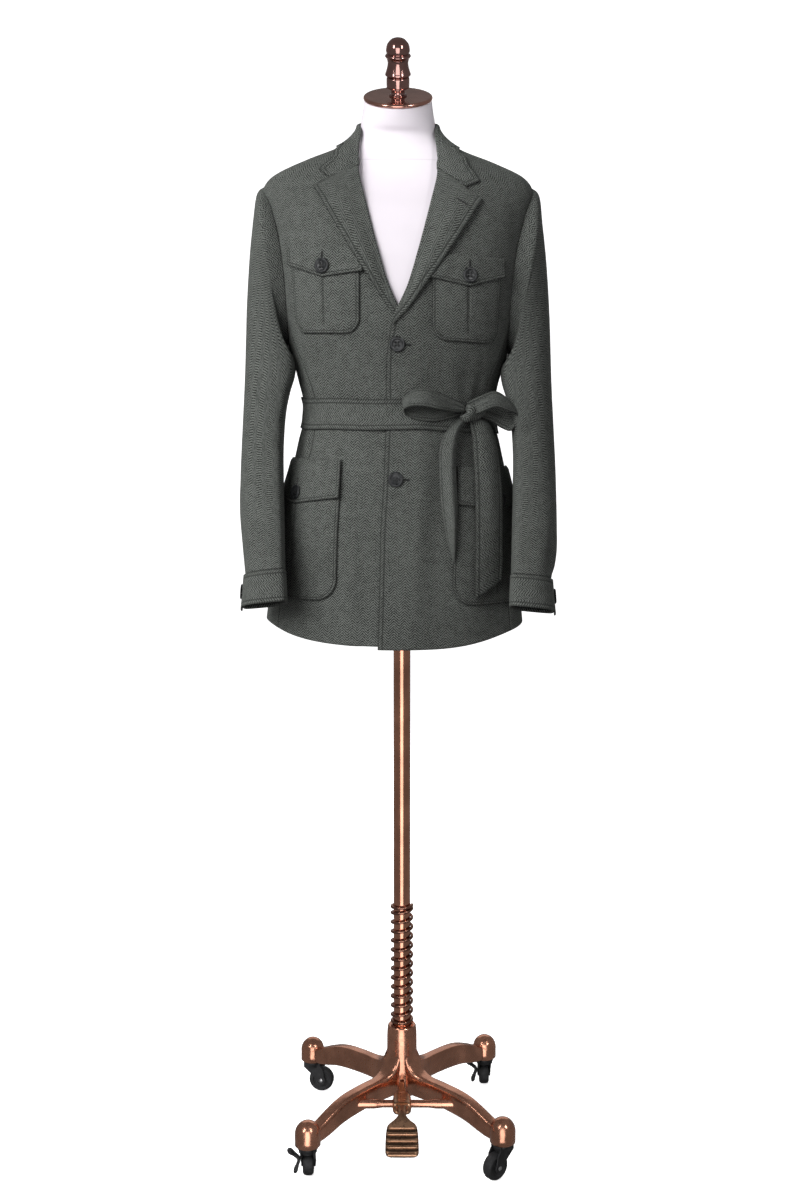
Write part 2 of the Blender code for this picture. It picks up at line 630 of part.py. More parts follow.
def cuff_rings(side):
    """Rings of a cuff band, which carries on from the sleeve a little wider."""
    front, under, back = armhole_turns()
    turns = np.concatenate([front[:-1], under[:-1], back[:-1]])
    outer_x, outer_height, inner_x, inner_height, middle_y, half_depth, pitch = SLEEVE[-1]
    rings = []
    for part in (0.0, 0.5, 1.0):
        down = SEAM * 0.9 + CUFF_LENGTH * part
        wider = 0.0008 - 0.0020 * part
        edges = (outer_x + wider, outer_height - down, inner_x - wider, inner_height - down)
        rings.append(oval(side, turns, *edges, middle_y - 0.3 * down, half_depth + 0.0008, pitch))
    return np.array(rings)


def make_sleeves(place):
    """Two sleeves with their cuff bands."""
    for side, name in ((1, "left"), (-1, "right")):
        cloth("sleeve_" + name, sleeve_rings(side), place, around=True, side=side)
        cloth("cuff_" + name, cuff_rings(side), place, around=True, side=side)


def make_lapels(place):
    """Each lapel lies on its front between the roll line and its own edge."""
    along = np.linspace(0, 1, 11)
    roll = through(ROLL_LINE, along * ROLL_AT_GORGE)
    edge = through(LAPEL_EDGE, along)
    across = np.linspace(0, 1, 6)[None, :, None]
    grid = roll[:, None] * (1 - across) + edge[:, None] * across
    height = grid[..., 1]
    under = 6.0 * (1 - ease((height - BREAK_HEIGHT) / 0.03))
    spring = LAPEL_SPRING * ease(1.7 * across[..., 0]) * ease(along / 0.35)[:, None]
    spring = spring * (1 - 0.75 * ease((along - 0.75) / 0.25))[:, None]
    for side, name in ((1, "lapel_left"), (-1, "lapel_right")):
        height = grid[..., 1] - LAPEL_DROP[side] * (along[:, None] * across[..., 0]) ** 1.5
        angle = np.radians(grid[..., 0] + 0.15 if side > 0 else np.maximum(grid[..., 0] + 0.15, under))
        lift = LAY + CLOTH + spring + front_lift(side, angle, height)
        cloth(name, skin(side * angle, height, lift), place, side=side)


def make_collar(place):
    """The collar's fall lies on the shoulders, and its stand rises from the neckline to the fold."""
    along = np.linspace(-8, 8, 33)
    table = through(COLLAR, np.abs(along))
    sign = np.where(along < 0, -1.0, 1.0)
    across = np.linspace(0, 1, 5)[:, None]
    weights = ((1 - across) * (1 - 2 * across), 4 * across * (1 - across), across * (2 * across - 1))
    fold, middle, edge = (np.stack([table[:, i], table[:, i + 1]], -1) for i in (0, 2, 4))
    grid = sum(weight[..., None] * row[None] for weight, row in zip(weights, (fold, middle, edge)))
    angle = np.radians(grid[..., 0])
    behind = np.where(sign < 0, 2 * math.pi - angle, angle)
    over_ridge = np.exp(-(((grid[..., 0] - 90) / 16) ** 2))
    lift = 0.0022 + (COLLAR_LIFT - 0.0022 + 0.0031 * over_ridge) * ease(3 * across)
    drop = np.where(sign < 0, LAPEL_DROP[-1], LAPEL_DROP[1]) * 0.7 * across * ease((np.abs(along) - 4) / 4)
    grid_points = skin(behind, grid[..., 1] - drop, lift)
    cloth("collar", grid_points[::-1], place, side=-1)
    along = np.linspace(-5, 5, 19)
    table = through(COLLAR, np.abs(along))
    sign = np.where(along < 0, -1.0, 1.0)
    angle = np.radians(table[:, 0])
    behind = np.where(sign < 0, 2 * math.pi - angle, angle)
    height = table[:, 1] - table[:, 6] * np.linspace(1, 0, 3)[:, None]
    height[0] += 1.5 * SEAM
    cloth("collar_stand", skin(np.broadcast_to(behind, height.shape), height), place, side=-1)


def pocket_grid(sizes, side, drop):
    """(angle, height) places of a patch pocket with round lower corners."""
    share = np.cos(np.linspace(math.pi, 0, 9))
    arc = sizes["middle"] + sizes["half"] * share
    past = np.clip(1 - (1 - np.abs(share)) * sizes["half"] / sizes["corner"], 0, 1)
    low = sizes["bottom"] + sizes["corner"] * (1 - np.sqrt(1 - 0.98 * past**2))
    up = np.linspace(0, 1, 7)[:, None]
    height = low + (sizes["top"] - low) * up - drop
    swell = (1 - share**4) * np.sin(math.pi * up) ** 0.7
    return angle_at(side * arc, height), height, swell


def flap_grid(sizes, side, drop):
    """(angle, height) places of a flap with a point at the middle of its lower edge."""
    share = np.linspace(-1, 1, 9)
    arc = sizes["middle"] + sizes["half"] * share
    low = sizes["end"] + (sizes["point"] - sizes["end"]) * (1 - np.abs(share))
    height = low + (sizes["top"] - low) * np.linspace(0, 1, 4)[:, None] - drop
    return angle_at(side * arc, height), height


def make_pockets(place):
    """Patch pockets on the cloth, and their flaps over them."""
    on_panel = 1.4 * LAY + CLOTH
    on_pocket = 2.4 * LAY + 2 * CLOTH
    for side, name in ((1, "left"), (-1, "right")):
        for kind, pocket, flap, drop in (
            ("chest", CHEST_POCKET, CHEST_FLAP, CHEST_DROP[side]),
            ("hip", HIP_POCKET, HIP_FLAP, 0.0),
        ):
            pocket_name, flap_name = f"{kind}_pocket_{name}", f"{kind}_flap_{name}"
            angle, height, swell = pocket_grid(pocket, side, drop)
            lift = on_panel + POCKET_SPRING[kind] * swell
            cloth(pocket_name, skin(angle, height, lift), place, side=side)
            angle, height = flap_grid(flap, side, drop)
            down = np.linspace(1, 0, 4)[:, None]
            lift = on_pocket + POCKET_SPRING[kind] * down + 0 * height
            cloth(flap_name, skin(angle, height, lift), place, side=side)


def button(name, angle, height, lift, place):
    """Turned button standing on the cloth."""
    base = skin(np.array([angle]), np.array([height]), np.array([lift + LAY / 2]))[0]
    tip = skin(np.array([angle]), np.array([height]), np.array([lift + 0.01]))[0]
    out = (tip - base) / np.linalg.norm(tip - base)
    button_at(name, base, out, place)


def button_at(name, base, out, place):
    """Turned button with its back at a point, facing out."""
    profile = [
        (0.0, BUTTON_HEIGHT * 0.75),
        (BUTTON_RADIUS * 0.70, BUTTON_HEIGHT * 0.75),
        (BUTTON_RADIUS * 0.88, BUTTON_HEIGHT),
        (BUTTON_RADIUS, BUTTON_HEIGHT * 0.6),
        (BUTTON_RADIUS * 0.8, 0.0),
        (0.0, 0.0),
    ]
    tilt = math.acos(max(-1.0, min(1.0, out[2])))
    heading = math.atan2(out[1], out[0])
    turn = (0, tilt, heading)
    turned(name, profile, 14, BUTTON_LOOK, place, location=base, turn=turn, parent=place["form"])


def make_buttons(place):
    """Front, pocket and cuff buttons."""
    for number, height in enumerate(FRONT_BUTTONS):
        button(f"front_button_{number + 1}", 0.0, height, LAP, place)
    on_flap = 2.4 * LAY + 2 * CLOTH
    for side, name in ((1, "left"), (-1, "right")):
        for kind, sizes, drop in (("chest", CHEST_FLAP, CHEST_DROP[side]), ("hip", HIP_FLAP, 0.0)):
            height = sizes["point"] + 0.0165 - drop
            low_part = 1 - 0.0165 / (sizes["top"] - sizes["point"])
            angle = angle_at(np.array([side * sizes["middle"]]), np.array([height]))[0]
            button(f"{kind}_button_{name}", angle, height, on_flap + POCKET_SPRING[kind] * low_part, place)
        rings = cuff_rings(side)
        out = np.cross(rings[1][2] - rings[1][0], rings[2][1] - rings[0][1]) * side
        out /= np.linalg.norm(out)
        button_at(f"cuff_button_{name}", rings[1][1] + out * LAY, out, place)


def ribbon(rows, steps, columns, bulge=0.0):
    """Grid across a ribbon through its rows of two edge points, with its middle pushed forward."""
    table = np.column_stack([np.linspace(0, 1, len(rows)), np.array(rows)])
    both = through(table, np.linspace(0, 1, steps))
    across = np.linspace(0, 1, columns)[None, :, None]
    grid = both[:, None, :3] * (1 - across) + both[:, None, 3:6] * across
    grid[..., 1] -= bulge * np.sin(math.pi * across[..., 0])
    return grid


def tail(rows, steps, columns):
    """Grid of a hanging belt end, in front of the body."""
    table = np.column_stack([np.linspace(0, 1, len(rows)), np.array(rows)])
    both = through(table, np.linspace(0, 1, steps))
    across = np.linspace(0, 1, columns)[None, :]
    edges = [both[:, None, i] * (1 - across) + both[:, None, i + 3] * across for i in (0, 1, 2)]
    lift = edges[2] + both[:, None, 6] * np.sin(math.pi * across)
    return front_at(edges[0], edges[1], lift)


def make_belt(place):
    """Belt round the waist, its knot and bow, and the two ends that hang from it."""
    turns = np.linspace(-math.pi, math.pi, 49)[:-1]
    height = WAIST_HEIGHT + BELT_WIDTH * np.linspace(-0.5, 0.5, 3)[:, None]
    angle = np.broadcast_to(turns, (3, 48))
    lap = front_lift(1, np.abs(turns), height)
    cloth("belt", skin(angle, height + 0 * turns, 1.4 * LAY + CLOTH + lap), place, around=True)
    cloth("bow_loop_right", ribbon(RIGHT_LOOP, 19, 4), place, offset=0.0)
    cloth("bow_loop_left", ribbon(LEFT_LOOP, 15, 4), place, offset=0.0)
    cloth("belt_tail_right", tail(RIGHT_TAIL, 13, 4), place, offset=0.0)
    cloth("belt_tail_left", tail(LEFT_TAIL, 13, 4), place, offset=0.0)
    mesh = bpy.data.meshes.new("belt_knot")
    shape = bmesh.new()
    bmesh.ops.create_uvsphere(shape, u_segments=12, v_segments=8, radius=1.0)
    bmesh.ops.scale(shape, vec=(0.0170, 0.0088, 0.0125), verts=shape.verts)
    shape.to_mesh(mesh)
    shape.free()
    mesh.shade_smooth()
    spot = front_at(0.1155, 1.2125, LAY * 1.4 + CLOTH + 0.0094)
    add("belt_knot", mesh, CLOTH_LOOK, place["parts"], spot, (0, 0, math.radians(38)), place["form"])


def make_form(place):
    """Smooth torso inside the jacket, with its neck cut square to the tilted cap."""
    turns = np.linspace(-math.pi, math.pi, 25)[:-1]
    heights = np.array(
        [TORSO_BOTTOM + 0.004, 0.94, 1.00, 1.06, 1.12, 1.165, 1.208, 1.25, 1.30, 1.36, 1.42, 1.47, 1.51]
        + [1.54, 1.56, 1.577, 1.592, 1.606, 1.620, 1.634, 1.650]
    )
    inset = through(FORM_INSETS, heights)
    rows = ring(turns[None, :], heights[:, None], inset)
    foot = rows[0].copy()
    foot[:, :2] = foot[:, :2] * 0.95
    foot[:, 2] = TORSO_BOTTOM
    out = np.array([0.0, -math.sin(CAP_TILT), math.cos(CAP_TILT)])
    back = np.array([0.0, math.cos(CAP_TILT), math.sin(CAP_TILT)])
    middle = np.array(CAP_CENTRE) - out * (CAP_THICKNESS / 2 + SEAM)
    radius = CAP_RADIUS - 0.0015
    rim = middle + radius * (np.sin(turns)[:, None] * np.array([1.0, 0, 0]) - np.cos(turns)[:, None] * back)
    below = rim - out * 0.012
    grid = np.concatenate([foot[None], rows, (rows[-1] * 0.35 + below * 0.65)[None], rim[None]])
    add("torso", solid("torso", grid), FORM_LOOK, place["parts"], parent=place["form"])
    tilt = (CAP_TILT, 0, 0)
    cap = add("neck_cap", rod("neck_cap", CAP_RADIUS, CAP_THICKNESS, 28), COPPER_LOOK, place["parts"])
    cap.location, cap.rotation_euler, cap.parent = CAP_CENTRE, tilt, place["form"]
    foot_point = np.array(CAP_CENTRE) + out * (CAP_THICKNESS / 2 + SEAM)
    profile = [(0.0, FINIAL_PROFILE[-1][1] + 0.0025)] + FINIAL_PROFILE[::-1] + [(0.0, 0.0)]
    turned("finial", profile, 16, COPPER_LOOK, place, location=foot_point, turn=tilt, parent=place["form"])


def make_mast(place):
    """Pole with a flange under the torso, and the coil spring round its foot."""
    top = TORSO_BOTTOM - SEAM
    profile = [
        (0.0, top),
        (0.045, top),
        (0.045, top - 0.006),
        (0.020, top - 0.010),
        (0.018, top - 0.030),
        (POLE_RADIUS, top - 0.032),
        (POLE_RADIUS, POLE_FOOT),
        (0.0, POLE_FOOT),
    ]
    turned("pole", profile, 24, COPPER_LOOK, place, parent=place["mast"])
    count, sides = 13.0, 11
    low, high = HUB_TOP + SEAM + WIRE_RADIUS, SPRING_TOP - WIRE_RADIUS
    part = np.linspace(0, 1, int(count * sides) + 1)
    turn = 2 * math.pi * count * part
    rise = low + (high - low) * (part - 0.035 * np.sin(2 * math.pi * part))
    points = np.stack([SPRING_RADIUS * np.cos(turn), SPRING_RADIUS * np.sin(turn), rise], -1)
    coil = bpy.data.curves.new("spring", "CURVE")
    coil.dimensions = "3D"
    coil.bevel_depth = WIRE_RADIUS
    coil.bevel_resolution = 0
    coil.use_fill_caps = True
    line = coil.splines.new("POLY")
    line.points.add(len(points) - 1)
    for point, place_at in zip(line.points, points):
        point.co = (*place_at, 1.0)
    add("spring", coil, SPRING_LOOK, place["parts"], parent=place["base"])


def make_base(place):
    """Hub, arched legs that end in knobs, cross bar and pedal."""
    bore = POLE_RADIUS + 0.0004
    profile = [
        (bore, HUB_TOP),
        (HUB_RADIUS - 0.003, HUB_TOP),
        (HUB_RADIUS - 0.001, HUB_TOP - 0.004),
        (HUB_RADIUS, HUB_TOP - 0.020),
        (HUB_RADIUS, 0.1370),
        (0.0265, 0.1260),
        (0.0302, 0.1170),
        (0.0302, HUB_FOOT),
        (bore, HUB_FOOT),
        (bore, HUB_TOP),
    ]
    turned("hub", profile, 24, COPPER_LOOK, place, parent=place["base"])
    for name, leg_angle, _, _ in CASTORS:
        heading = math.radians(leg_angle) + BASE_TURN
        table = np.array(LEG_PATH)
        half = LEG_WIDTH / 2
        cut = 0.003
        corners = [(half, -cut), (half - cut, 0.0), (-half + cut, 0.0), (-half, -cut)]
        out, flat = table[:, 0], 0 * table[:, 0]
        edges = [np.stack([out, flat + y, table[:, 1] + z], -1) for y, z in corners]
        edges += [np.stack([out, flat + y, table[:, 2]], -1) for y in (-half, half)]
        mesh = solid("leg_" + name, np.stack(edges, 1))
        where = {"turn": (0, 0, heading), "parent": place["base"]}
        bar = add("leg_" + name, mesh, COPPER_LOOK, place["parts"], **where)
        shoulder = KNOB_FOOT + 0.019
        dome = np.array((0.0, 0.45, 0.85, 1.25))
        radii = np.append(KNOB_RADIUS, KNOB_RADIUS * np.cos(dome))[:, None]
        heights = np.append(KNOB_FOOT, shoulder + (KNOB_TOP - shoulder) * np.sin(dome))[:, None]
        turns = np.linspace(0, 2 * math.pi, 17)[:-1]
        rings = np.stack([radii * np.cos(turns), radii * np.sin(turns), heights + 0 * turns], -1)
        knob = solid("knob_" + name, rings)
        trimmed(bar, helper("knob_" + name, knob, place, knob_place(heading), (0, 0, heading)), "UNION")
    out, height = PEDAL_AXIS
    spot, lying = (0, out, height), (0, math.pi / 2, 0)
    bar = rod("cross_bar", 0.006, 0.1256, 14)
    add("cross_bar", bar, COPPER_LOOK, place["parts"], (0.0049, out, height), lying, place["base"])
    pedal_mesh = path_solid("pedal", PEDAL_PATH, 0)
    for vertex in pedal_mesh.vertices:
        vertex.co.y -= out
        vertex.co.z -= height
    pedal = add("pedal", pedal_mesh, PEDAL_LOOK, place["parts"], spot, parent=place["base"])
    hole = helper("pedal_hole", rod("pedal_hole", 0.0064, 0.05, 16), place, spot, lying)
    trimmed(pedal, hole, "DIFFERENCE")


def knob_place(heading):
    """Centre of the castor under the leg with this heading, on the floor."""
    return (CASTOR_RADIUS * math.cos(heading), CASTOR_RADIUS * math.sin(heading), 0.0)


def make_castors(place):
    """Each castor: a fork that swivels under the knob, its wheel, and a rocker brake on two of them."""
    axle = WHEEL_RADIUS * math.cos(math.pi / WHEEL_SIDES)
    crown, half_crown, cheek = KNOB_FOOT - SEAM, 0.0145, 0.0115
    for name, leg_angle, trail_angle, brake in CASTORS:
        centre = knob_place(math.radians(leg_angle) + BASE_TURN)
        turn = (0, 0, math.radians(trail_angle))
        outline = [(-half_crown, crown), (-half_crown, crown - 0.010), (TRAIL - 0.011, axle + 0.006)]
        outline += [
            (TRAIL + 0.0085 * math.cos(swing), axle + 0.0085 * math.sin(swing))
            for swing in np.radians((200, 240, 280, 320, 360, 395))
        ]
        outline += [(half_crown + 0.006, crown - 0.014), (half_crown, crown - 0.006), (half_crown, crown)]
        curve = bpy.data.curves.new("fork_" + name, "CURVE")
        curve.dimensions = "2D"
        curve.fill_mode = "BOTH"
        curve.extrude = cheek
        line = curve.splines.new("POLY")
        line.points.add(len(outline) - 1)
        for point, (along, up) in zip(line.points, outline):
            point.co = (along, up, 0.0, 1.0)
        line.use_cyclic_u = True
        shape = bmesh.new()
        flat = bpy.data.objects.new("fork_outline", curve)
        place["cutters"].objects.link(flat)
        shape.from_mesh(flat.to_mesh())
        bmesh.ops.remove_doubles(shape, verts=shape.verts, dist=0.00001)
        bmesh.ops.rotate(shape, verts=shape.verts, matrix=Matrix.Rotation(math.pi / 2, 3, "X"))
        bmesh.ops.recalc_face_normals(shape, faces=shape.faces)
        mesh = bpy.data.meshes.new("fork_" + name)
        shape.to_mesh(mesh)
        shape.free()
        bpy.data.objects.remove(flat)
        fork = add("fork_" + name, mesh, CASTOR_LOOK, place["parts"], centre, turn, place["base"])
        slot_size = (0.2, WHEEL_WIDTH + 2 * SEAM, 0.0464)
        slot = block("slot_" + name, slot_size, (0, 0, slot_size[2] / 2))
        trimmed(fork, helper("slot_" + name, slot, place, centre, turn), "DIFFERENCE")
        half, edge = WHEEL_WIDTH / 2, 0.0035
        wheel_profile = [
            (0.0, half),
            (WHEEL_RADIUS - edge, half),
            (WHEEL_RADIUS, half - edge),
            (WHEEL_RADIUS, edge - half),
            (WHEEL_RADIUS - edge, -half),
            (0.0, -half),
        ]
        heading = turn[2]
        spot = (centre[0] + TRAIL * math.cos(heading), centre[1] + TRAIL * math.sin(heading), axle)
        roll = (math.pi / 2, math.pi / WHEEL_SIDES, heading)
        where = {"location": spot, "turn": roll, "parent": place["base"]}
        turned("wheel_" + name, wheel_profile, WHEEL_SIDES, WHEEL_LOOK, place, **where)
        if brake:
            rocker = path_solid("brake_" + name, ROCKER_PATH, 1)
            for vertex in rocker.vertices:
                vertex.co.x -= ROCKER_PATH[3][0]
                vertex.co.z -= ROCKER_PATH[3][1]
            away = heading + math.pi / 2
            pivot = (
                (centre[0] + spot[0]) / 2 + ROCKER_PATH[3][0] * math.cos(away),
                (centre[1] + spot[1]) / 2 + ROCKER_PATH[3][0] * math.sin(away),
                ROCKER_PATH[3][1],
            )
            add("brake_" + name, rocker, CASTOR_LOOK, place["parts"], pivot, (0, 0, away), place["base"])


def main():
    for item in list(bpy.data.objects):
        bpy.data.objects.remove(item)
    place = {}
    for key, title in (("parts", "belted_jacket_on_dress_form"), ("cutters", "cutters")):
        place[key] = bpy.data.collections.new(title)
        bpy.context.scene.collection.children.link(place[key])
    for key in ("base", "mast", "form"):
        place[key] = bpy.data.objects.new(key + "_frame", None)
        place["parts"].objects.link(place[key])
    place["form"].location.x = FORM_SHIFT
    make_fronts(place)
    make_sides(place)
    make_back(place)
    make_sleeves(place)
    make_lapels(place)
    make_collar(place)
    make_pockets(place)
    make_buttons(place)
    make_belt(place)
    make_form(place)
    make_mast(place)
    make_base(place)
    make_castors(place)


main()
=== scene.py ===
"""Belted safari jacket on a wheeled dress form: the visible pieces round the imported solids.

Metres, +Z up. The front faces -Y and +X is the wearer's left. A place on the jacket is an angle round
the body (0 at the centre front) and a height, as in the solids.
"""

import json
import math

import bmesh
import bpy
import numpy as np
from bpy.props import FloatProperty, FloatVectorProperty, PointerProperty
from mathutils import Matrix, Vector

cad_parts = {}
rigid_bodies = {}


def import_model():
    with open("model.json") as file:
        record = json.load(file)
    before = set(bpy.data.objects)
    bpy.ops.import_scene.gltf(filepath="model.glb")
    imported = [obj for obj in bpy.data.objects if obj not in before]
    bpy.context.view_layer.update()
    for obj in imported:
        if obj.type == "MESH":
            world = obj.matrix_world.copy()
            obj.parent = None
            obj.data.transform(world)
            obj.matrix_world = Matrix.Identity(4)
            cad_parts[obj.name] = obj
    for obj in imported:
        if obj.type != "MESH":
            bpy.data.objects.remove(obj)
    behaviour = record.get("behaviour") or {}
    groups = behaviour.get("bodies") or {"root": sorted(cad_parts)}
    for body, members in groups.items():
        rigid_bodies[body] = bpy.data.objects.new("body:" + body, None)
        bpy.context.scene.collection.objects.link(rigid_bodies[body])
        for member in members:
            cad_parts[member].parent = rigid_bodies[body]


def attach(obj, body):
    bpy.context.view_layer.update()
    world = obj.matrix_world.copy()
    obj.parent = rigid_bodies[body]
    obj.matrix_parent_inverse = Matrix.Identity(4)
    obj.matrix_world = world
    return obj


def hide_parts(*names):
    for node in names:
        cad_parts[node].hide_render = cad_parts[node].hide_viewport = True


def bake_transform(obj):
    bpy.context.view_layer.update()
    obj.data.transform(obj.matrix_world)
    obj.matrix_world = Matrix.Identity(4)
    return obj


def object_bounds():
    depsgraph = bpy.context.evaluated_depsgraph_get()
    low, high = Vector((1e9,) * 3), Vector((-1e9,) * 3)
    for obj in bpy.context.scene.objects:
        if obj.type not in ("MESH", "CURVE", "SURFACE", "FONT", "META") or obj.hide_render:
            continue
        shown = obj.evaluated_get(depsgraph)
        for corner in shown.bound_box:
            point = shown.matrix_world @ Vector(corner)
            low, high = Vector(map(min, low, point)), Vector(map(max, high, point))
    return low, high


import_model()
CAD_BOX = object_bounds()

bl_info = {
    "name": "Belted safari jacket on a dress form",
    "version": (1, 0, 0),
    "blender": (4, 5, 0),
    "location": "View3D > Sidebar > Jacket",
    "description": "Builds a belted herringbone jacket, its dress form and its copper stand",
    "category": "Add Mesh",
}

# Cloth layers
CLOTH = 0.0015  # thickness of a layer
SEAM = 0.0003  # space between two sewn edges
LAY = 0.0010  # space between a piece and the cloth that it lies on
LAP = 0.0026  # how far the left front stands off where it laps over the right one
ON_PANEL = 1.4 * LAY + CLOTH  # lift of a piece that lies on one layer
ON_POCKET = 2.4 * LAY + 2 * CLOTH  # lift of a piece that lies on a pocket
SEAM_TURN = SEAM / 2 / 0.17  # half of the space at a seam, as an angle round the body
SEAM_SOFT = 0.0006  # added to the distance from a seam, so that its valley stays shallow and its painted shade light
HANG = 0.043  # the garment hangs lower on the wearer's left, as a slope of height against X
FORM_SHIFT = np.array((-0.0033, 0.0, 0.0))  # the form stands this far from the pole's axis
SLEEVE_SHIFT = -0.0025  # both sleeves hang this far to the wearer's right
SLEEVE_NOSE = math.radians(25)  # turn of a sleeve's foremost line towards the body
SLEEVE_ROUND = 0.042  # mean radius of a sleeve
SIDE_DROP = {1: 0.004, -1: -0.003}  # how much lower each sleeve's foot hangs
LAPEL_DROP = {1: 0.006, -1: -0.006}  # how much lower each lapel's point lies
SIDES = ((1, "left"), (-1, "right"))

# Jacket places
ARC_LEVELS = np.linspace(0.84, 1.56, 91)  # heights at which lengths round the cloth are worked out
ARC_STEPS = 60  # steps of angle from the centre front to the centre back
GRAIN_TOP = 1.50  # above this height the weave keeps the width that it has there
BREAK_HEIGHT = 1.345
WAIST_HEIGHT, BELT_WIDTH = 1.2045, 0.048
ARMHOLE_HEIGHT, ARMHOLE_HALF = 1.436, 0.125
ARMHOLE_FRONT, ARMHOLE_BACK = math.radians(27.5), math.radians(25.0)
ARM_FRONT = math.acos((BREAK_HEIGHT - ARMHOLE_HEIGHT) / ARMHOLE_HALF)
POCKETS = {
    "chest": {"half": 0.0560, "top": 1.449, "bottom": 1.323, "corner": 0.024},
    "hip": {"half": 0.0800, "top": 1.128, "bottom": 0.9185, "corner": 0.034},
}
FLAPS = {
    "chest": {"half": 0.0612, "top": 1.451, "inner": 1.4145, "outer": 1.4245, "point": 1.4050},
    "hip": {"half": 0.0806, "top": 1.131, "inner": 1.0735, "outer": 1.0730, "point": 1.0625},
}
POCKET_MIDDLE = {"chest": {1: 0.1070, -1: 0.1135}, "hip": {1: 0.1690, -1: 0.1695}}
POCKET_DROP = {"chest": {1: 0.005, -1: 0.0}, "hip": {1: 0.004, -1: -0.004}}
POCKET_SPRING = {"chest": 0.0012, "hip": 0.0030}
BUTTON_RADIUS, BUTTON_HEIGHT = 0.0117, 0.0034
BUTTON_DISH = 0.62  # height of its dished middle, as a share
HOLE_REACH = 0.0024  # how far its holes lie from the middle, both ways
FLAP_BUTTON = 0.0165  # its height above the point of a flap
FRONT_BUTTONS = ((-0.25, 1.3105), (-1.5, 1.1070))  # angle in degrees and height
CUFF_LENGTH = 0.047
COLLAR_LIFT = 0.0038
LAPEL_SPRING = 0.0060
LAPEL_ROLL, LAPEL_TUCK = 0.0032, 0.010  # radius of the fold, and cloth turned under
COLLAR_ROLL, COLLAR_TUCK = 0.0033, 0.012
FOLD_COLUMNS, TUCK_COLUMNS = 12, 4
ROLLED = FOLD_COLUMNS + TUCK_COLUMNS  # columns that a fold adds to a grid
KNOT_PLACE = (0.1070, 1.2145)  # x and height
KNOT_SIZE = (0.0235, 0.0108, 0.0158)  # half its length, depth and height
KNOT_TURN = math.radians(38)
BELT_COLUMNS = 26

# Form and stand
CAP_TILT = math.radians(27.0)
CAP_CENTRE = np.array((-0.003, -0.0245, 1.6900))
CAP_RADIUS, CAP_THICKNESS = 0.0535, 0.006
TORSO_BOTTOM = 0.900
NECK_SEAM = 1.594  # height of the cover's seam round the neck
POLE_RADIUS, POLE_FOOT = 0.0138, 0.120
HUB_RADIUS, HUB_FOOT, HUB_TOP = 0.0250, 0.072, 0.1885
SPRING_TOP, SPRING_RADIUS, WIRE_RADIUS, COILS = 0.3986, 0.0168, 0.0025, 14
BASE_TURN = math.radians(2.0)
CASTOR_RADIUS = 0.219
KNOB_RADIUS, KNOB_FOOT, KNOB_TOP = 0.0205, 0.0570, 0.0975
LEG_WIDTH = 0.022
WHEEL_RADIUS, WHEEL_WIDTH = 0.0218, 0.0168
TRAIL = 0.0160
PEDAL_AXIS = (-0.085, 0.0885)
PEDAL_GROOVES = (0.0793, 0.00672, 0.0545)  # height of the first, pitch, height of the last
BAR_ENDS, BAR_MIDDLE = (-0.0790, 0.0905), 0.0058
FLOOR_REACH, SWEEP_START, SWEEP_RADIUS = 6.0, 3.0, 1.5

RINGS = [
    # height, centre, lean, half_width, front, back, fullness
    (0.845, -0.010, 0.000, 0.212, 0.150, 0.140, 0.030),
    (0.900, -0.009, 0.000, 0.206, 0.150, 0.138, 0.030),
    (0.960, -0.008, 0.000, 0.199, 0.148, 0.134, 0.030),
    (1.030, -0.006, 0.000, 0.189, 0.143, 0.128, 0.030),
    (1.100, -0.002, 0.000, 0.175, 0.133, 0.116, 0.030),
    (1.160, -0.001, 0.000, 0.161, 0.121, 0.104, 0.030),
    (1.208, -0.001, 0.000, 0.151, 0.113, 0.097, 0.030),
    (1.255, -0.003, 0.000, 0.158, 0.117, 0.101, 0.035),
    (1.300, -0.003, 0.000, 0.171, 0.126, 0.112, 0.040),
    (1.350, -0.003, 0.000, 0.181, 0.132, 0.122, 0.050),
    (1.410, -0.003, 0.000, 0.190, 0.130, 0.128, 0.055),
    (1.470, -0.003, 0.000, 0.199, 0.120, 0.128, 0.055),
    (1.520, -0.003, 0.000, 0.207, 0.102, 0.120, 0.050),
    (1.555, -0.003, -0.001, 0.2115, 0.078, 0.104, 0.040),
    (1.575, -0.003, -0.002, 0.1945, 0.066, 0.092, 0.030),
    (1.595, -0.003, -0.003, 0.1510, 0.058, 0.082, 0.020),
    (1.615, -0.003, -0.005, 0.0980, 0.052, 0.076, 0.010),
    (1.635, -0.003, -0.008, 0.0705, 0.050, 0.071, 0.000),
    (1.655, -0.003, -0.012, 0.0625, 0.050, 0.067, 0.000),
    (1.675, -0.003, -0.017, 0.0620, 0.050, 0.062, 0.000),
    (1.700, -0.003, -0.024, 0.0600, 0.050, 0.058, 0.000),
]
FORM_INSETS = [
    # height, inset
    (0.880, 0.0140), (1.000, 0.0130), (1.120, 0.0085), (1.208, 0.0052), (1.300, 0.0062),
    (1.420, 0.0062), (1.520, 0.0068), (1.560, 0.0132), (1.620, 0.0120), (1.650, 0.0075),
    (1.700, 0.0075),
]
SIDE_SEAMS = [
    # height, front_seam, back_seam (degrees)
    (0.845, 59.0, 115.0), (1.000, 58.0, 116.0), (1.170, 55.5, 118.0),
    (1.260, 58.0, 115.0), (BREAK_HEIGHT, 69.69, 108.49),
]
FRONT_EDGE = [
    # height, angle (degrees)
    (0.845, -6.5), (0.960, -6.6), (1.050, -7.2), (1.137, -7.7),
    (1.190, -7.6), (1.250, -6.7), (1.305, -5.2), (BREAK_HEIGHT, -2.6),
]
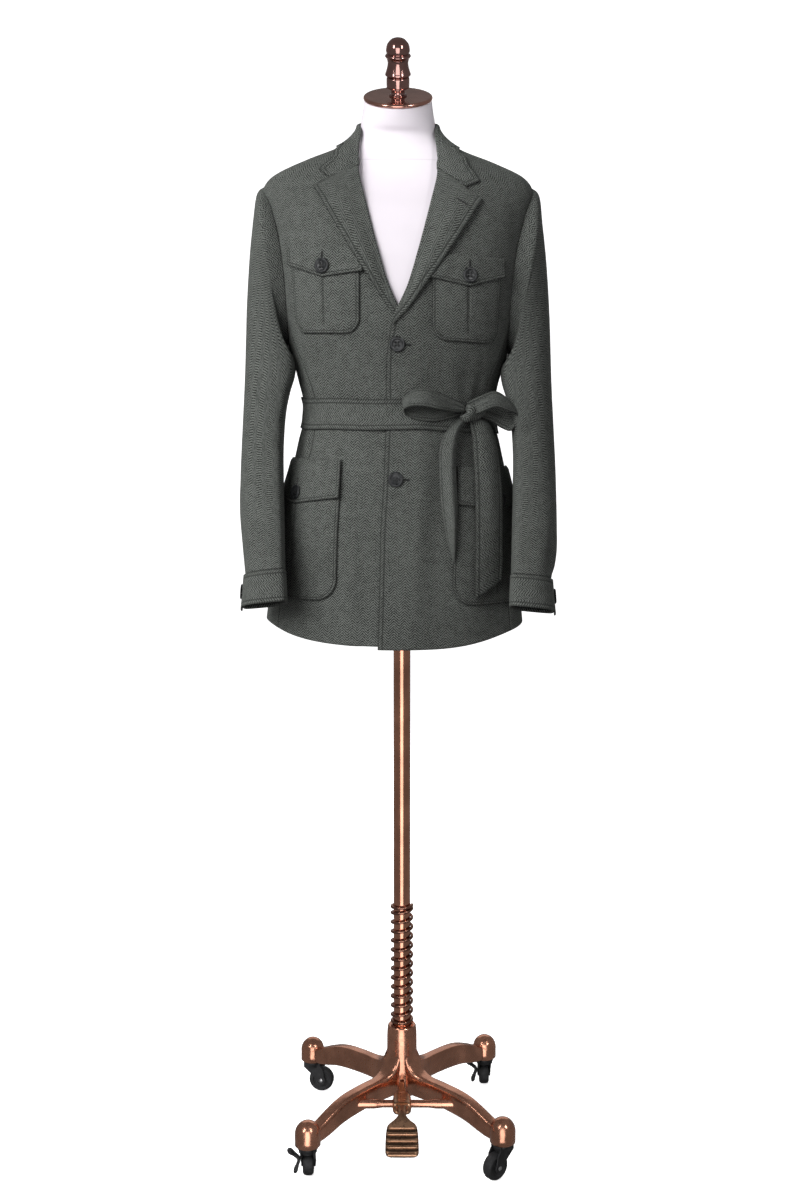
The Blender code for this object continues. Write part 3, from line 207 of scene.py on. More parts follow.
ROLL_LINE = [
    # along, angle (degrees), height
    (0.00, -2.6, BREAK_HEIGHT), (0.14, 4.5, 1.3950), (0.30, 9.4, 1.4500), (0.48, 13.5, 1.5120),
    (0.61, 16.2, 1.5570), (0.72, 21.2, 1.5880), (0.80, 28.5, 1.6020), (0.88, 43.0, 1.6180),
    (0.94, 65.0, 1.6290), (1.00, 90.0, 1.6330),
]
ROLL_AT_GORGE = 0.68
LAPEL_EDGE = [
    # along, angle (degrees), height
    (0.00, -2.4, 1.3380), (0.14, 4.7, 1.3640), (0.30, 12.0, 1.4000), (0.46, 18.9, 1.4360),
    (0.62, 25.6, 1.4760), (0.78, 31.6, 1.5140), (0.90, 35.2, 1.5365),
]
NOTCH = (27.8, 1.5530)  # angle in degrees and height of the notch's inner corner
COLLAR = [
    # along, fold_angle, fold_height, middle_angle, middle_height, edge_angle, edge_height, stand
    (0.0, 180.0, 1.6650, 180.0, 1.6360, 180.0, 1.6020, 0.0300),
    (1.0, 150.0, 1.6630, 150.0, 1.6370, 150.0, 1.6050, 0.0290),
    (2.0, 120.0, 1.6590, 120.0, 1.6380, 120.0, 1.6110, 0.0260),
    (3.0, 90.0, 1.6500, 90.0, 1.6350, 90.0, 1.6170, 0.0170),
    (4.0, 65.0, 1.6395, 67.0, 1.6285, 68.0, 1.6135, 0.0110),
    (5.0, 43.0, 1.6190, 49.0, 1.6170, 53.0, 1.6080, 0.0045),
    (6.0, 28.6, 1.6025, 36.5, 1.6005, 44.5, 1.5985, 0.0),
    (6.5, 24.8, 1.5955, 32.0, 1.5935, 39.5, 1.5925, 0.0),
    (7.0, 22.0, 1.5895, 29.5, 1.5845, 37.0, 1.5860, 0.0),
    (7.5, 20.4, 1.5845, 28.3, 1.5700, 35.6, 1.5770, 0.0),
    (8.0, 19.2, 1.5800, *NOTCH, 35.5, 1.5665, 0.0),
]
SLEEVE = [
    # outer_x, outer_height, inner_x, inner_height, middle_y, half_depth, pitch
    (0.2205, 1.5480, 0.1775, 1.3060, 0.004, 0.070, 0.00),
    (0.2282, 1.5220, 0.1745, 1.3015, 0.004, 0.071, 0.00),
    (0.2342, 1.4770, 0.1705, 1.2965, 0.003, 0.072, 0.00),
    (0.2385, 1.4220, 0.1638, 1.2895, 0.001, 0.072, 0.00),
    (0.2416, 1.3680, 0.1608, 1.2790, -0.002, 0.072, 0.00),
    (0.2434, 1.3130, 0.1628, 1.2590, -0.006, 0.072, 0.01),
    (0.2450, 1.2580, 0.1700, 1.2350, -0.011, 0.071, 0.03),
    (0.2474, 1.2030, 0.1762, 1.2030, -0.018, 0.070, 0.06),
    (0.2494, 1.1500, 0.1794, 1.1530, -0.030, 0.068, 0.09),
    (0.2498, 1.0980, 0.1784, 1.1030, -0.050, 0.064, 0.12),
    (0.2484, 1.0480, 0.1760, 1.0540, -0.074, 0.058, 0.15),
    (0.2422, 1.0000, 0.1736, 1.0070, -0.100, 0.053, 0.18),
    (0.2362, 0.9580, 0.1716, 0.9640, -0.121, 0.050, 0.20),
]
RIGHT_LOOP = [
    # first_x, first_y, first_z, second_x, second_y, second_z
    (0.0981, -0.1060, 1.2207, 0.0971, -0.1080, 1.2086),
    (0.0768, -0.1170, 1.2313, 0.0768, -0.1220, 1.2104),
    (0.0542, -0.1300, 1.2399, 0.0573, -0.1400, 1.2130),
    (0.0350, -0.1360, 1.2450, 0.0356, -0.1480, 1.2172),
    (0.0154, -0.1360, 1.2400, 0.0166, -0.1450, 1.2175),
    (0.0040, -0.1290, 1.2273, 0.0065, -0.1330, 1.2122),
    (0.0082, -0.1215, 1.2243, 0.0113, -0.1225, 1.2034),
    (0.0289, -0.1180, 1.2272, 0.0289, -0.1185, 1.1965),
    (0.0578, -0.1110, 1.2237, 0.0578, -0.1125, 1.1955),
    (0.0902, -0.1000, 1.2164, 0.0918, -0.1010, 1.2048),
]
LEFT_LOOP = [
    # as for the right loop
    (0.1027, -0.1000, 1.2240, 0.1092, -0.1030, 1.2032),
    (0.1254, -0.1040, 1.2347, 0.1283, -0.1120, 1.2111),
    (0.1455, -0.1000, 1.2408, 0.1460, -0.1110, 1.2168),
    (0.1648, -0.0920, 1.2298, 0.1660, -0.1010, 1.2112),
    (0.1828, -0.0800, 1.2088, 0.1811, -0.0870, 1.2030),
    (0.1853, -0.0700, 1.2047, 0.1722, -0.0830, 1.1817),
    (0.1730, -0.0680, 1.2210, 0.1556, -0.0780, 1.1857),
    (0.1482, -0.0740, 1.2243, 0.1416, -0.0800, 1.1953),
    (0.1167, -0.0880, 1.2209, 0.1167, -0.0900, 1.2033),
]
RIGHT_TAIL = [
    # first_x, first_z, first_lift, second_x, second_z, second_lift, bulge
    (0.0893, 1.2051, 0.0060, 0.1020, 1.2020, 0.0060, 0.000),
    (0.0699, 1.1818, 0.0080, 0.0876, 1.1863, 0.0150, 0.008),
    (0.0598, 1.1589, 0.0060, 0.0817, 1.1590, 0.0150, 0.009),
    (0.0584, 1.1285, 0.0055, 0.0801, 1.1267, 0.0150, 0.009),
    (0.0613, 1.0745, 0.0055, 0.0824, 1.0736, 0.0140, 0.009),
    (0.0689, 1.0205, 0.0060, 0.0826, 1.0201, 0.0120, 0.007),
    (0.0786, 0.9827, 0.0075, 0.0806, 0.9820, 0.0080, 0.001),
]
LEFT_TAIL = [
    # as for the right tail
    (0.1004, 1.2037, 0.0060, 0.1132, 1.2059, 0.0060, 0.000),
    (0.1027, 1.1878, 0.0090, 0.1266, 1.1944, 0.0130, 0.006),
    (0.1060, 1.1635, 0.0090, 0.1367, 1.1654, 0.0150, 0.008),
    (0.1073, 1.1210, 0.0112, 0.1431, 1.1227, 0.0160, 0.006),
    (0.1093, 1.0734, 0.0110, 0.1468, 1.0779, 0.0160, 0.004),
    (0.1103, 1.0096, 0.0100, 0.1496, 1.0198, 0.0140, 0.002),
    (0.1113, 0.9237, 0.0085, 0.1515, 0.9525, 0.0120, 0.001),
]
LEG_PATH = [
    # out, top, bottom
    (0.0230, 0.1420, 0.0760), (0.0310, 0.1260, 0.0760), (0.0420, 0.1165, 0.0755),
    (0.0600, 0.1122, 0.0750), (0.0900, 0.1115, 0.0745), (0.1250, 0.1095, 0.0720),
    (0.1500, 0.1045, 0.0685), (0.1750, 0.0950, 0.0615), (0.1950, 0.0860, 0.0575),
    (0.2150, 0.0800, 0.0578),
]
PEDAL_PATH = [
    # out, height, half_width, half_thickness
    (0.0340, 0.0970, 0.0050, 0.0050),
    (0.0560, 0.0945, 0.0060, 0.0060),
    (0.0700, 0.0900, 0.0140, 0.0105),
    (0.1000, 0.0885, 0.0150, 0.0105),
    (0.1080, 0.0900, 0.0075, 0.0060),
    (0.1260, 0.0880, 0.0065, 0.0050),
    (0.1340, 0.0840, 0.0130, 0.0050),
    (0.1430, 0.0770, 0.0240, 0.0050),
    (0.1680, 0.0560, 0.0266, 0.0050),
    (0.1760, 0.0490, 0.0254, 0.0055),
    (0.1785, 0.0468, 0.0205, 0.0040),
]
TREADS = [
    # share of the way down the pedal's plate, half_width, radius
    (0.06, 0.0195, 0.0015), (0.30, 0.0225, 0.0015), (0.54, 0.0225, 0.0015),
    (0.78, 0.0225, 0.0015), (1.06, 0.0225, 0.0030),
]
ROCKER_PATH = [
    # side, height, half_width, half_thickness
    (0.0325, 0.0455, 0.0030, 0.0020),
    (0.0285, 0.0425, 0.0062, 0.0035),
    (0.0215, 0.0370, 0.0045, 0.0026),
    (0.0150, 0.0300, 0.0045, 0.0028),
    (0.0172, 0.0200, 0.0045, 0.0026),
    (0.0200, 0.0115, 0.0062, 0.0035),
    (0.0212, 0.0065, 0.0030, 0.0020),
]
FINIAL_PROFILE = [
    # radius, height above the cap
    (0.0135, 0.0), (0.0135, 0.0018), (0.0108, 0.0030), (0.0105, 0.0085), (0.0134, 0.0097),
    (0.0134, 0.0112), (0.0165, 0.0122), (0.0176, 0.0135), (0.0176, 0.0258), (0.0160, 0.0272),
    (0.0168, 0.0286), (0.0198, 0.0312), (0.0185, 0.0360), (0.0163, 0.0440), (0.0160, 0.0500),
    (0.0178, 0.0555), (0.0198, 0.0582), (0.0186, 0.0606), (0.0168, 0.0614), (0.0180, 0.0645),
    (0.0183, 0.0680), (0.0165, 0.0755), (0.0110, 0.0820), (0.0055, 0.0845), (0.0, 0.0853),
]
LIGHTS = [
    # name, setting, share of it, place, target, size, card for the gloss alone
    ("key_light", "key", 1.0, (-2.1, -2.6, 2.75), (0.0, 0.0, 1.10), (2.6, 2.2), False),
    ("fill_light", "fill", 1.0, (2.4, -2.0, 1.5), (0.0, 0.0, 1.1), (1.4, 2.2), False),
    ("side_light", "side", 1.0, (-2.8, -0.9, 1.6), (0.0, 0.0, 1.2), (1.4, 2.2), False),
    ("back_light", "back", 1.0, (0.0, 2.6, 2.2), (0.0, 0.0, 1.0), (2.6, 2.0), False),
    ("front_card", "card", 1.0, (-0.10, -2.6, 0.0), (0.0, 0.0, 0.0), (1.7, 3.2), True),
    ("back_card", "card", 0.35, (0.0, 3.4, 2.0), (0.0, 0.0, 0.3), (4.0, 2.4), True),
    ("strip_left", "strip", 1.0, (-1.5, -1.9, 2.3), (0.0, 0.0, 1.6), (0.30, 1.4), True),
    ("strip_right", "strip", 1.0, (1.5, -1.9, 2.3), (0.0, 0.0, 1.6), (0.30, 1.4), True),
]
CASTORS = [
    # name, leg_angle, trail_angle (degrees), brake
    ("front_right", 225.0, 90.0, 1),
    ("front_left", 315.0, 220.0, 0),
    ("back_right", 135.0, -6.0, 0),
    ("back_left", 45.0, 90.0, 1),
]

# Soft folds of the body's cloth: ridges where the depth is positive, hollows where it is negative
BODY_FOLDS = [
    # arc, height, lean (degrees), half_length, half_width, depth
    (-0.067, 0.930, 2.0, 0.090, 0.014, 0.0022),
    (-0.046, 0.925, 2.0, 0.090, 0.011, -0.0016),
    (-0.150, 1.150, 4.0, 0.030, 0.006, -0.0012),
    (-0.164, 1.152, 2.0, 0.030, 0.006, 0.0014),
    (-0.180, 1.150, -3.0, 0.030, 0.006, -0.0012),
    (-0.194, 1.148, -6.0, 0.030, 0.006, 0.0012),
    (-0.110, 1.150, 9.0, 0.040, 0.010, 0.0011),
    (-0.085, 1.160, 12.0, 0.035, 0.010, -0.0009),
    (-0.130, 1.262, -6.0, 0.034, 0.009, -0.0012),
    (-0.152, 1.260, -3.0, 0.036, 0.009, 0.0013),
    (-0.090, 1.258, -10.0, 0.030, 0.010, 0.0009),
    (0.030, 1.160, -8.0, 0.040, 0.012, 0.0010),
    (0.064, 1.080, -2.0, 0.120, 0.016, -0.0030),
    (0.034, 1.060, -3.0, 0.110, 0.013, 0.0013),
    (0.030, 0.930, -2.0, 0.080, 0.016, 0.0014),
    (0.085, 1.262, 10.0, 0.035, 0.010, 0.0012),
    (0.110, 1.265, 6.0, 0.035, 0.010, -0.0010),
    (0.150, 1.262, 4.0, 0.035, 0.010, 0.0012),
    (0.030, 1.330, 40.0, 0.030, 0.007, -0.0008),
    (-0.040, 1.372, -38.0, 0.045, 0.009, -0.0010),
    (0.190, 1.500, 20.0, 0.040, 0.010, -0.0012),
    (-0.190, 1.500, -20.0, 0.040, 0.010, -0.0012),
]
SLEEVE_FOLDS = {
    1: [
        # turn (degrees), along, lean (degrees), half_length, half_width, depth
        (118.0, 0.225, 35.0, 0.050, 0.010, 0.0022),
        (112.0, 0.255, 38.0, 0.055, 0.010, -0.0020),
        (105.0, 0.290, 30.0, 0.050, 0.010, 0.0020),
        (100.0, 0.330, 25.0, 0.050, 0.009, -0.0014),
        (50.0, 0.525, 3.0, 0.060, 0.0050, -0.0042),
        (38.0, 0.520, 4.0, 0.060, 0.0080, 0.0036),
        (5.0, 0.480, 0.0, 0.035, 0.0220, 0.0050),
        (75.0, 0.480, -10.0, 0.060, 0.011, 0.0016),
        (20.0, 0.060, 8.0, 0.060, 0.010, -0.0016),
        (62.0, 0.075, -14.0, 0.070, 0.010, -0.0014),
    ],
    -1: [
        (122.0, 0.215, 35.0, 0.050, 0.010, 0.0022),
        (116.0, 0.245, 38.0, 0.055, 0.010, -0.0020),
        (108.0, 0.285, 32.0, 0.055, 0.010, 0.0022),
        (100.0, 0.325, 28.0, 0.055, 0.010, -0.0018),
        (72.0, 0.365, 30.0, 0.055, 0.011, 0.0014),
        (60.0, 0.500, 4.0, 0.080, 0.010, 0.0018),
        (45.0, 0.520, 3.0, 0.070, 0.009, -0.0018),
        (20.0, 0.060, 8.0, 0.060, 0.010, -0.0016),
        (62.0, 0.075, -14.0, 0.070, 0.010, -0.0014),
    ],
}


class JacketSettings(bpy.types.PropertyGroup):
    """Colours and weave of the jacket."""

    yarn: FloatVectorProperty(
        name="Yarn", description="Mean colour of the wool", subtype="COLOR", min=0.0, max=1.0,
        default=(0.064, 0.068, 0.063),
    )
    horn: FloatVectorProperty(
        name="Horn", description="Colour of the buttons", subtype="COLOR", min=0.0, max=1.0,
        default=(0.015, 0.016, 0.017),
    )
    column: FloatProperty(
        name="Chevron column", description="Width of a column of the herringbone", default=0.0080,
        unit="LENGTH",
    )
    pitch: FloatProperty(
        name="Twill pitch", description="Height from one twill line to the next", default=0.0040,
        unit="LENGTH",
    )
    inset: FloatProperty(
        name="Stitch inset", description="Distance of the topstitching from an edge", default=0.0072,
        unit="LENGTH",
    )
    folds: FloatProperty(name="Folds", description="Depth of the soft folds", default=1.0, min=0.0, max=1.3)


class StandSettings(bpy.types.PropertyGroup):
    """Finishes of the form and the stand."""

    cover: FloatVectorProperty(
        name="Cover", description="Colour of the form's stretch cover", subtype="COLOR", min=0.0, max=1.0,
        default=(0.690, 0.645, 0.693),
    )
    copper: FloatVectorProperty(
        name="Copper", description="Colour of the plated metal", subtype="COLOR", min=0.0, max=1.0,
        default=(0.68, 0.325, 0.215),
    )
    gloss: FloatProperty(name="Copper roughness", description="Roughness of the plate", default=0.16, min=0.0)
    castor: FloatVectorProperty(
        name="Castor", description="Colour of the castors", subtype="COLOR", min=0.0, max=1.0,
        default=(0.016, 0.016, 0.017),
    )


class StageSettings(bpy.types.PropertyGroup):
    """Camera and light."""

    eye: FloatVectorProperty(
        name="Eye", description="Place of the camera", subtype="TRANSLATION", unit="LENGTH",
        default=(-0.0032, -2.30, 1.19),
    )
    pitch: FloatProperty(
        name="Pitch", description="How far the camera looks down", subtype="ANGLE", default=math.radians(7.0)
    )
    lens: FloatProperty(name="Lens", description="Focal length in millimetres", default=42.81)
    key: FloatProperty(name="Key light", description="Power of the key light in watts", default=197.0)
    fill: FloatProperty(name="Fill light", description="Power of the fill light in watts", default=10.5)
    side: FloatProperty(name="Side light", description="Power of the side light in watts", default=18.0)
    back: FloatProperty(name="Back light", description="Power of the light behind in watts", default=70.0)
    strip: FloatProperty(name="Strips", description="Power of each strip that the gloss reflects", default=18.0)
    card: FloatProperty(name="Front card", description="Power of the card seen in the metal", default=44.0)
    neck: FloatProperty(name="Neck light", description="Power of the neck's light in watts", default=150.0)
    ambient: FloatProperty(name="Ambient", description="Strength of the surroundings", default=0.18, min=0.0)


def through(rows, at):
    """Values at each place on smooth cubic curves through the rows, whose first column is the place."""
    rows = np.asarray(rows, float)
    at = np.asarray(at, float)
    place, value = rows[:, 0], rows[:, 1:]
    slope_at = np.gradient(value, place, axis=0)
    low = np.clip(np.searchsorted(place, at, side="right") - 1, 0, len(place) - 2)
    span = (place[low + 1] - place[low])[..., None]
    part = np.clip((at[..., None] - place[low][..., None]) / span, 0, 1)
    rest = 1 - part
    return (
        (1 + 2 * part) * rest**2 * value[low]
        + part * rest**2 * span * slope_at[low]
        + part**2 * (3 - 2 * part) * value[low + 1]
        - part**2 * rest * span * slope_at[low + 1]
    )


def along_rows(rows, count):
    """Smooth curve through a table's rows, taken at evenly spaced row numbers."""
    table = np.column_stack([np.linspace(0, 1, len(rows)), np.asarray(rows, float)])
    return through(table, np.linspace(0, 1, count))


def ease(part):
    """Smooth step from 0 to 1."""
    part = np.clip(part, 0, 1)
    return part * part * (3 - 2 * part)


def floats(*values):
    """Values as arrays of one shape."""
    return np.broadcast_arrays(*(np.asarray(value, float) for value in values))


def unit(vectors):
    """Vectors brought to a length of one."""
    return vectors / np.linalg.norm(vectors, axis=-1, keepdims=True)


def circle(count):
    """Angles evenly round a circle, the last one short of the first."""
    return np.linspace(0, 2 * math.pi, count + 1)[:-1]


def slope(height, aside):
    """How the height falls with X: none at the hem, full at the chest, level over the shoulders."""
    return HANG * ease((height - 0.95) / 0.45) * (1 - 0.9 * aside * ease((height - 1.49) / 0.075))


def ring(angle, height, inset=0.0):
    """Point of the body surface: an ellipse with its quarters filled out, sloped by the hang."""
    angle, height, inset = floats(angle, height, inset)
    centre, lean, half_width, front, back, fullness = np.moveaxis(through(RINGS, height), -1, 0)
    fuller = 1 + fullness * np.sin(2 * angle) ** 2
    ahead = np.cos(angle)
    x = centre + (half_width - inset) * np.sin(angle) * fuller
    y = lean - (np.where(ahead > 0, front, back) - inset) * ahead * fuller
    return np.stack([x, y, height - slope(height, ease((0.77 - ahead) / 0.6)) * x], -1)


def skin(angle, height, lift=0.0):
    """Point of the body surface moved out by the lift, along the surface's normal."""
    step = 1e-4
    across = ring(angle + step, height) - ring(angle - step, height)
    upwards = ring(angle, height + step) - ring(angle, height - step)
    return ring(angle, height) + unit(np.cross(across, upwards)) * np.asarray(lift, float)[..., None]


def arcs(height):
    """Arc lengths from the centre front to evenly spaced angles up to the centre back, at each height."""
    turns = np.linspace(0, math.pi, ARC_STEPS + 1)
    points = ring(turns, np.asarray(height, float)[..., None])
    steps = np.linalg.norm(np.diff(points[..., :2], axis=-2), axis=-1)
    return np.concatenate([np.zeros(steps.shape[:-1] + (1,)), np.cumsum(steps, -1)], -1)


ARC_TABLE = arcs(ARC_LEVELS)


def arc_at(angle, height):
    """Signed arc length along the cloth from the centre front to an angle, at a height, between the
    table's four nearest values."""
    angle, height = floats(angle, height)
    turn = np.abs((angle + math.pi) % (2 * math.pi) - math.pi) / math.pi * ARC_STEPS
    level = (height - ARC_LEVELS[0]) / (ARC_LEVELS[1] - ARC_LEVELS[0])
    level = np.clip(level, 0, len(ARC_LEVELS) - 1.001)
    i, j = level.astype(int), np.clip(turn.astype(int), 0, ARC_STEPS - 1)
    p, q = level - i, turn - j
    low = ARC_TABLE[i, j] * (1 - q) + ARC_TABLE[i, j + 1] * q
    high = ARC_TABLE[i + 1, j] * (1 - q) + ARC_TABLE[i + 1, j + 1] * q
    return np.sign(np.sin(angle)) * (low * (1 - p) + high * p)


def cell(table, value):
    """Which step of a rising table's last axis holds a value, and how far through the step it lies."""
    low = np.clip((table < value[..., None]).sum(-1) - 1, 0, table.shape[-1] - 2)
    start = np.take_along_axis(table, low[..., None], -1)[..., 0]
    end = np.take_along_axis(table, low[..., None] + 1, -1)[..., 0]
    return low, (value - start) / (end - start)


def angle_at(arc, height):
    """Angle of the place this far along the cloth from the centre front, at a height."""
    arc, height = floats(arc, height)
    low, part = cell(arcs(height), np.abs(arc))
    return np.sign(arc) * (low + part) * math.pi / ARC_STEPS


def front_at(x, height, lift):
    """Point in front of the body at an X and a height, moved out by the lift."""
    x, height, lift = floats(x, height, lift)
    turns = np.radians(np.linspace(-89, 89, 179))
    low, part = cell(ring(turns, height[..., None])[..., 0], x)
    turn = turns[low] + part * (turns[1] - turns[0])
    return skin(turn, height, lift + drape(turn, height))


def coons(bottom, top, start, end):
    """Grid of places inside four edges that meet at the corners: the two ruled grids less the corner one."""
    across = np.linspace(0, 1, len(bottom))[None, :, None]
    up = np.linspace(0, 1, len(start))[:, None, None]
    ruled = (1 - up) * bottom[None] + up * top[None] + (1 - across) * start[:, None] + across * end[:, None]
    corners = (1 - up) * ((1 - across) * bottom[0] + across * bottom[-1])
    return ruled - corners - up * ((1 - across) * top[0] + across * top[-1])


def armhole(turn):
    """(angle, height) on the armhole: turn 0 is the shoulder, a quarter turn is the front."""
    turn = np.asarray(turn, float)
    sine = np.sin(turn)
    reach = np.where(sine > 0, ARMHOLE_FRONT, ARMHOLE_BACK) * np.sign(sine) * np.abs(sine) ** 0.8
    return np.stack([math.pi / 2 - reach, ARMHOLE_HEIGHT + ARMHOLE_HALF * np.cos(turn)], -1)


def hem(angle):
    """Height of the hem: lowest at the front edge of the left front, a little higher at the sides."""
    turn = np.degrees(np.abs(angle))
    right = np.where(np.sin(angle) < 0, 0.0030, -0.0020) * (1 - ease((turn - 60) / 60))
    return 0.851 + 0.029 * ease((turn - 15) / 70) - 0.006 * ease((turn - 100) / 60) + right


def front_lift(side, angle, height):
    """How far a front stands off the body: the left one where it laps over the right one."""
    near = 1 - ease((np.degrees(angle) - 9) / 12)
    below = 1 - ease((height - 1.375) / 0.06)
    over = 1 + 1.5 * np.exp(-(((height - 1.362) / 0.024) ** 2))
    return LAP * near * below * over if side > 0 else np.zeros(np.shape(angle))


def ridges(table, across, upwards):
    """Sum of soft folds: each is a bell along its leaning line and a narrower bell across it."""
    total = np.zeros(np.broadcast(across, upwards).shape)
    for place, height, lean, half_length, half_width, depth in table:
        c, s = math.cos(math.radians(lean)), math.sin(math.radians(lean))
        aside, up = across - place, upwards - height
        over = (aside * c + up * s) / half_width
        down = (up * c - aside * s) / half_length
        total += depth * np.exp(-(over**2) - down**2)
    return total


def drape(angle, height):
    """How far the body's cloth swells or hollows: soft folds, then waves round the hem and gathers by the
    belt, each of them two sines of the angle."""
    angle, height = floats(angle, height)
    arc = arc_at(angle, height)
    low = ease((1.02 - height) / 0.16)
    waves = low * (0.0016 * np.sin(6 * angle + 0.4) + 0.0012 * np.sin(10 * angle + 2.2))
    gather = np.exp(-(((height - 1.160) / 0.026) ** 2)) + 0.8 * np.exp(-(((height - 1.252) / 0.028) ** 2))
    aside = ease((np.abs(np.sin(angle)) - 0.2) / 0.5)
    pleats = gather * aside * 0.0007 * (np.sin(27 * angle) + 0.8 * np.sin(41 * angle + 1.3))
    return bpy.context.scene.jacket.folds * (ridges(BODY_FOLDS, arc, height) + waves + pleats)


def climb(height):
    """Length up the cloth to a height, along a line between the front and the side."""
    levels = np.linspace(0.84, 1.68, 169)
    line = ring(math.radians(40), levels)
    rise = np.concatenate([[0.0], np.cumsum(np.linalg.norm(np.diff(line, axis=0), axis=1))])
    return np.interp(height, levels, rise)


def run(points, axis):
    """Length along a grid's lines, from its first row or column."""
    steps = np.linalg.norm(np.diff(points, axis=axis), axis=-1)
    start = np.zeros_like(np.take(steps, [0], axis=axis))
    return np.concatenate([start, np.cumsum(steps, axis=axis)], axis=axis)


def from_ends(lengths):
    """Distance from the nearer end of each row, where lengths run along the rows."""
    return np.minimum(lengths, lengths[:, -1:] - lengths)


def outward(points, around=False):
    """Unit normals of a grid from its differences along rows and columns."""
    if around:
        across = np.roll(points, -1, 1) - np.roll(points, 1, 1)
    else:
        across = np.gradient(points, axis=1)
    out = np.cross(across, np.gradient(points, axis=0))
    return out / np.maximum(np.linalg.norm(out, axis=-1, keepdims=True), 1e-12)


def quads(rows, columns, around=False):
    """Corner numbers of a grid's faces; around joins the last column to the first."""
    number = np.arange(rows * columns).reshape(rows, columns)
    if around:
        number = np.concatenate([number, number[:, :1]], 1)
    return np.stack([number[:-1, :-1], number[:-1, 1:], number[1:, 1:], number[1:, :-1]], -1).reshape(-1, 4)


def corners(values):
    """A grid's values at the corners of its faces, in the order of quads."""
    a, b, c, d = values[:-1, :-1], values[:-1, 1:], values[1:, 1:], values[1:, :-1]
    return np.stack([a, b, c, d], -2).reshape(-1, values.shape[-1])


def new_object(name, mesh, material, body, nodes):
    """Object at the origin that rides on a body and stands for CAD nodes."""
    item = bpy.data.objects.new(name, mesh)
    bpy.context.scene.collection.objects.link(item)
    item.data.materials.append(material)
    if body:
        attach(item, body)
    if nodes:
        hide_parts(*nodes)
    return item


def sew(name, points, weave, stitch=None, seam=None, around=False, turn=False, offset=-1.0):
    """Cloth piece from a grid: weave holds metres across and along the grain, stitch the run along the
    edge and the distance from it, seam the distance from a plain seam. Solidify gives the layer its wall."""
    rows, columns = points.shape[:2]
    stitch = np.ones(weave.shape) if stitch is None else stitch
    seam = np.ones((rows, columns)) if seam is None else seam
    if turn:
        points, weave, stitch, seam = (v[:, ::-1] for v in (points, weave, stitch, seam))
    mesh = bpy.data.meshes.new("wool_" + name)
    mesh.from_pydata((points + FORM_SHIFT).reshape(-1, 3).tolist(), [], quads(rows, columns, around).tolist())
    for title, values in (("weave", weave), ("stitch", stitch)):
        layer = mesh.uv_layers.new(name=title)
        layer.uv.foreach_set("vector", corners(values).astype(np.float32).ravel())
    near = mesh.attributes.new("seam", "FLOAT", "POINT")
    near.data.foreach_set("value", np.ascontiguousarray(seam, np.float32).ravel())
    mesh.shade_smooth()
    item = new_object("wool_" + name, mesh, wool("wool_herringbone"), "form", [name])
    wall = item.modifiers.new("Wall", "SOLIDIFY")
    wall.thickness = CLOTH
    wall.offset = offset
    wall.use_even_offset = False
    return item


def plain(name, grids, material, body, nodes, sharp=35.0):
    """Hard piece from grids of points (grid, around): ends of a closed ring that have no size meet in a
    point."""
    points, faces, count = [], [], 0
    for grid, around in grids:
        rows, columns = grid.shape[:2]
        points.append(grid.reshape(-1, 3))
        faces.append(quads(rows, columns, around) + count)
        count += rows * columns
    mesh = bpy.data.meshes.new(name)
    mesh.from_pydata(np.concatenate(points).tolist(), [], np.concatenate(faces).tolist())
    shape = bmesh.new()
    shape.from_mesh(mesh)
    bmesh.ops.remove_doubles(shape, verts=shape.verts, dist=1e-6)
    bmesh.ops.dissolve_degenerate(shape, edges=shape.edges, dist=1e-7)
    bmesh.ops.recalc_face_normals(shape, faces=shape.faces)
    shape.to_mesh(mesh)
    shape.free()
    mesh.shade_smooth()
    mesh.set_sharp_from_angle(angle=math.radians(sharp))
    return new_object(name, mesh, material, body, nodes)


def spin(profile, sides=48):
    """Turned grid: a profile of (radius, height) carried round the Z axis."""
    profile = np.asarray(profile, float)
    turns = circle(sides)
    radius, height = profile[:, 0, None], profile[:, 1, None]
    return np.stack([radius * np.cos(turns), radius * np.sin(turns), height + 0 * turns], -1)


def tube(path, radius, sides=12):
    """Round wire along a path: circles square to it, on the path's own side and rise directions. Where
    the path stands upright the side is X."""
    path = np.asarray(path, float)
    ahead = unit(np.gradient(path, axis=0))
    aside = np.cross(ahead, (0.0, 0.0, 1.0))
    upright = np.linalg.norm(aside, axis=1, keepdims=True) < 1e-6
    aside = unit(np.where(upright, (1.0, 0.0, 0.0), aside))
    rise = np.cross(aside, ahead)
    turns = circle(sides)
    radius = np.broadcast_to(radius, len(path))[:, None, None]
    return path[:, None] + radius * (
        np.cos(turns)[None, :, None] * aside[:, None] + np.sin(turns)[None, :, None] * rise[:, None]
    )


def capped(grid):
    """Grid of rings with its ends drawn in to their middles, so that it closes."""
    ends = [np.broadcast_to(grid[i].mean(0), grid[i].shape)[None] for i in (0, -1)]
    return np.concatenate([ends[0], grid, ends[1]])


def placed(grid, origin, turn=0.0, tilt=0.0):
    """Grid tipped about X, then turned about Z, then moved."""
    c, s = math.cos(tilt), math.sin(tilt)
    tip = np.array([[1, 0, 0], [0, c, -s], [0, s, c]])
    c, s = math.cos(turn), math.sin(turn)
    spun = np.array([[c, -s, 0], [s, c, 0], [0, 0, 1]])
    return grid @ (spun @ tip).T + np.asarray(origin, float)


def squircle(count, power=4.0):
    """Unit outline between a circle and a square: cosine and sine raised to two over the power."""
    turns = circle(count) + math.pi / count
    c, s = np.cos(turns), np.sin(turns)
    return np.stack([np.sign(c) * np.abs(c) ** (2 / power), np.sign(s) * np.abs(s) ** (2 / power)], -1)


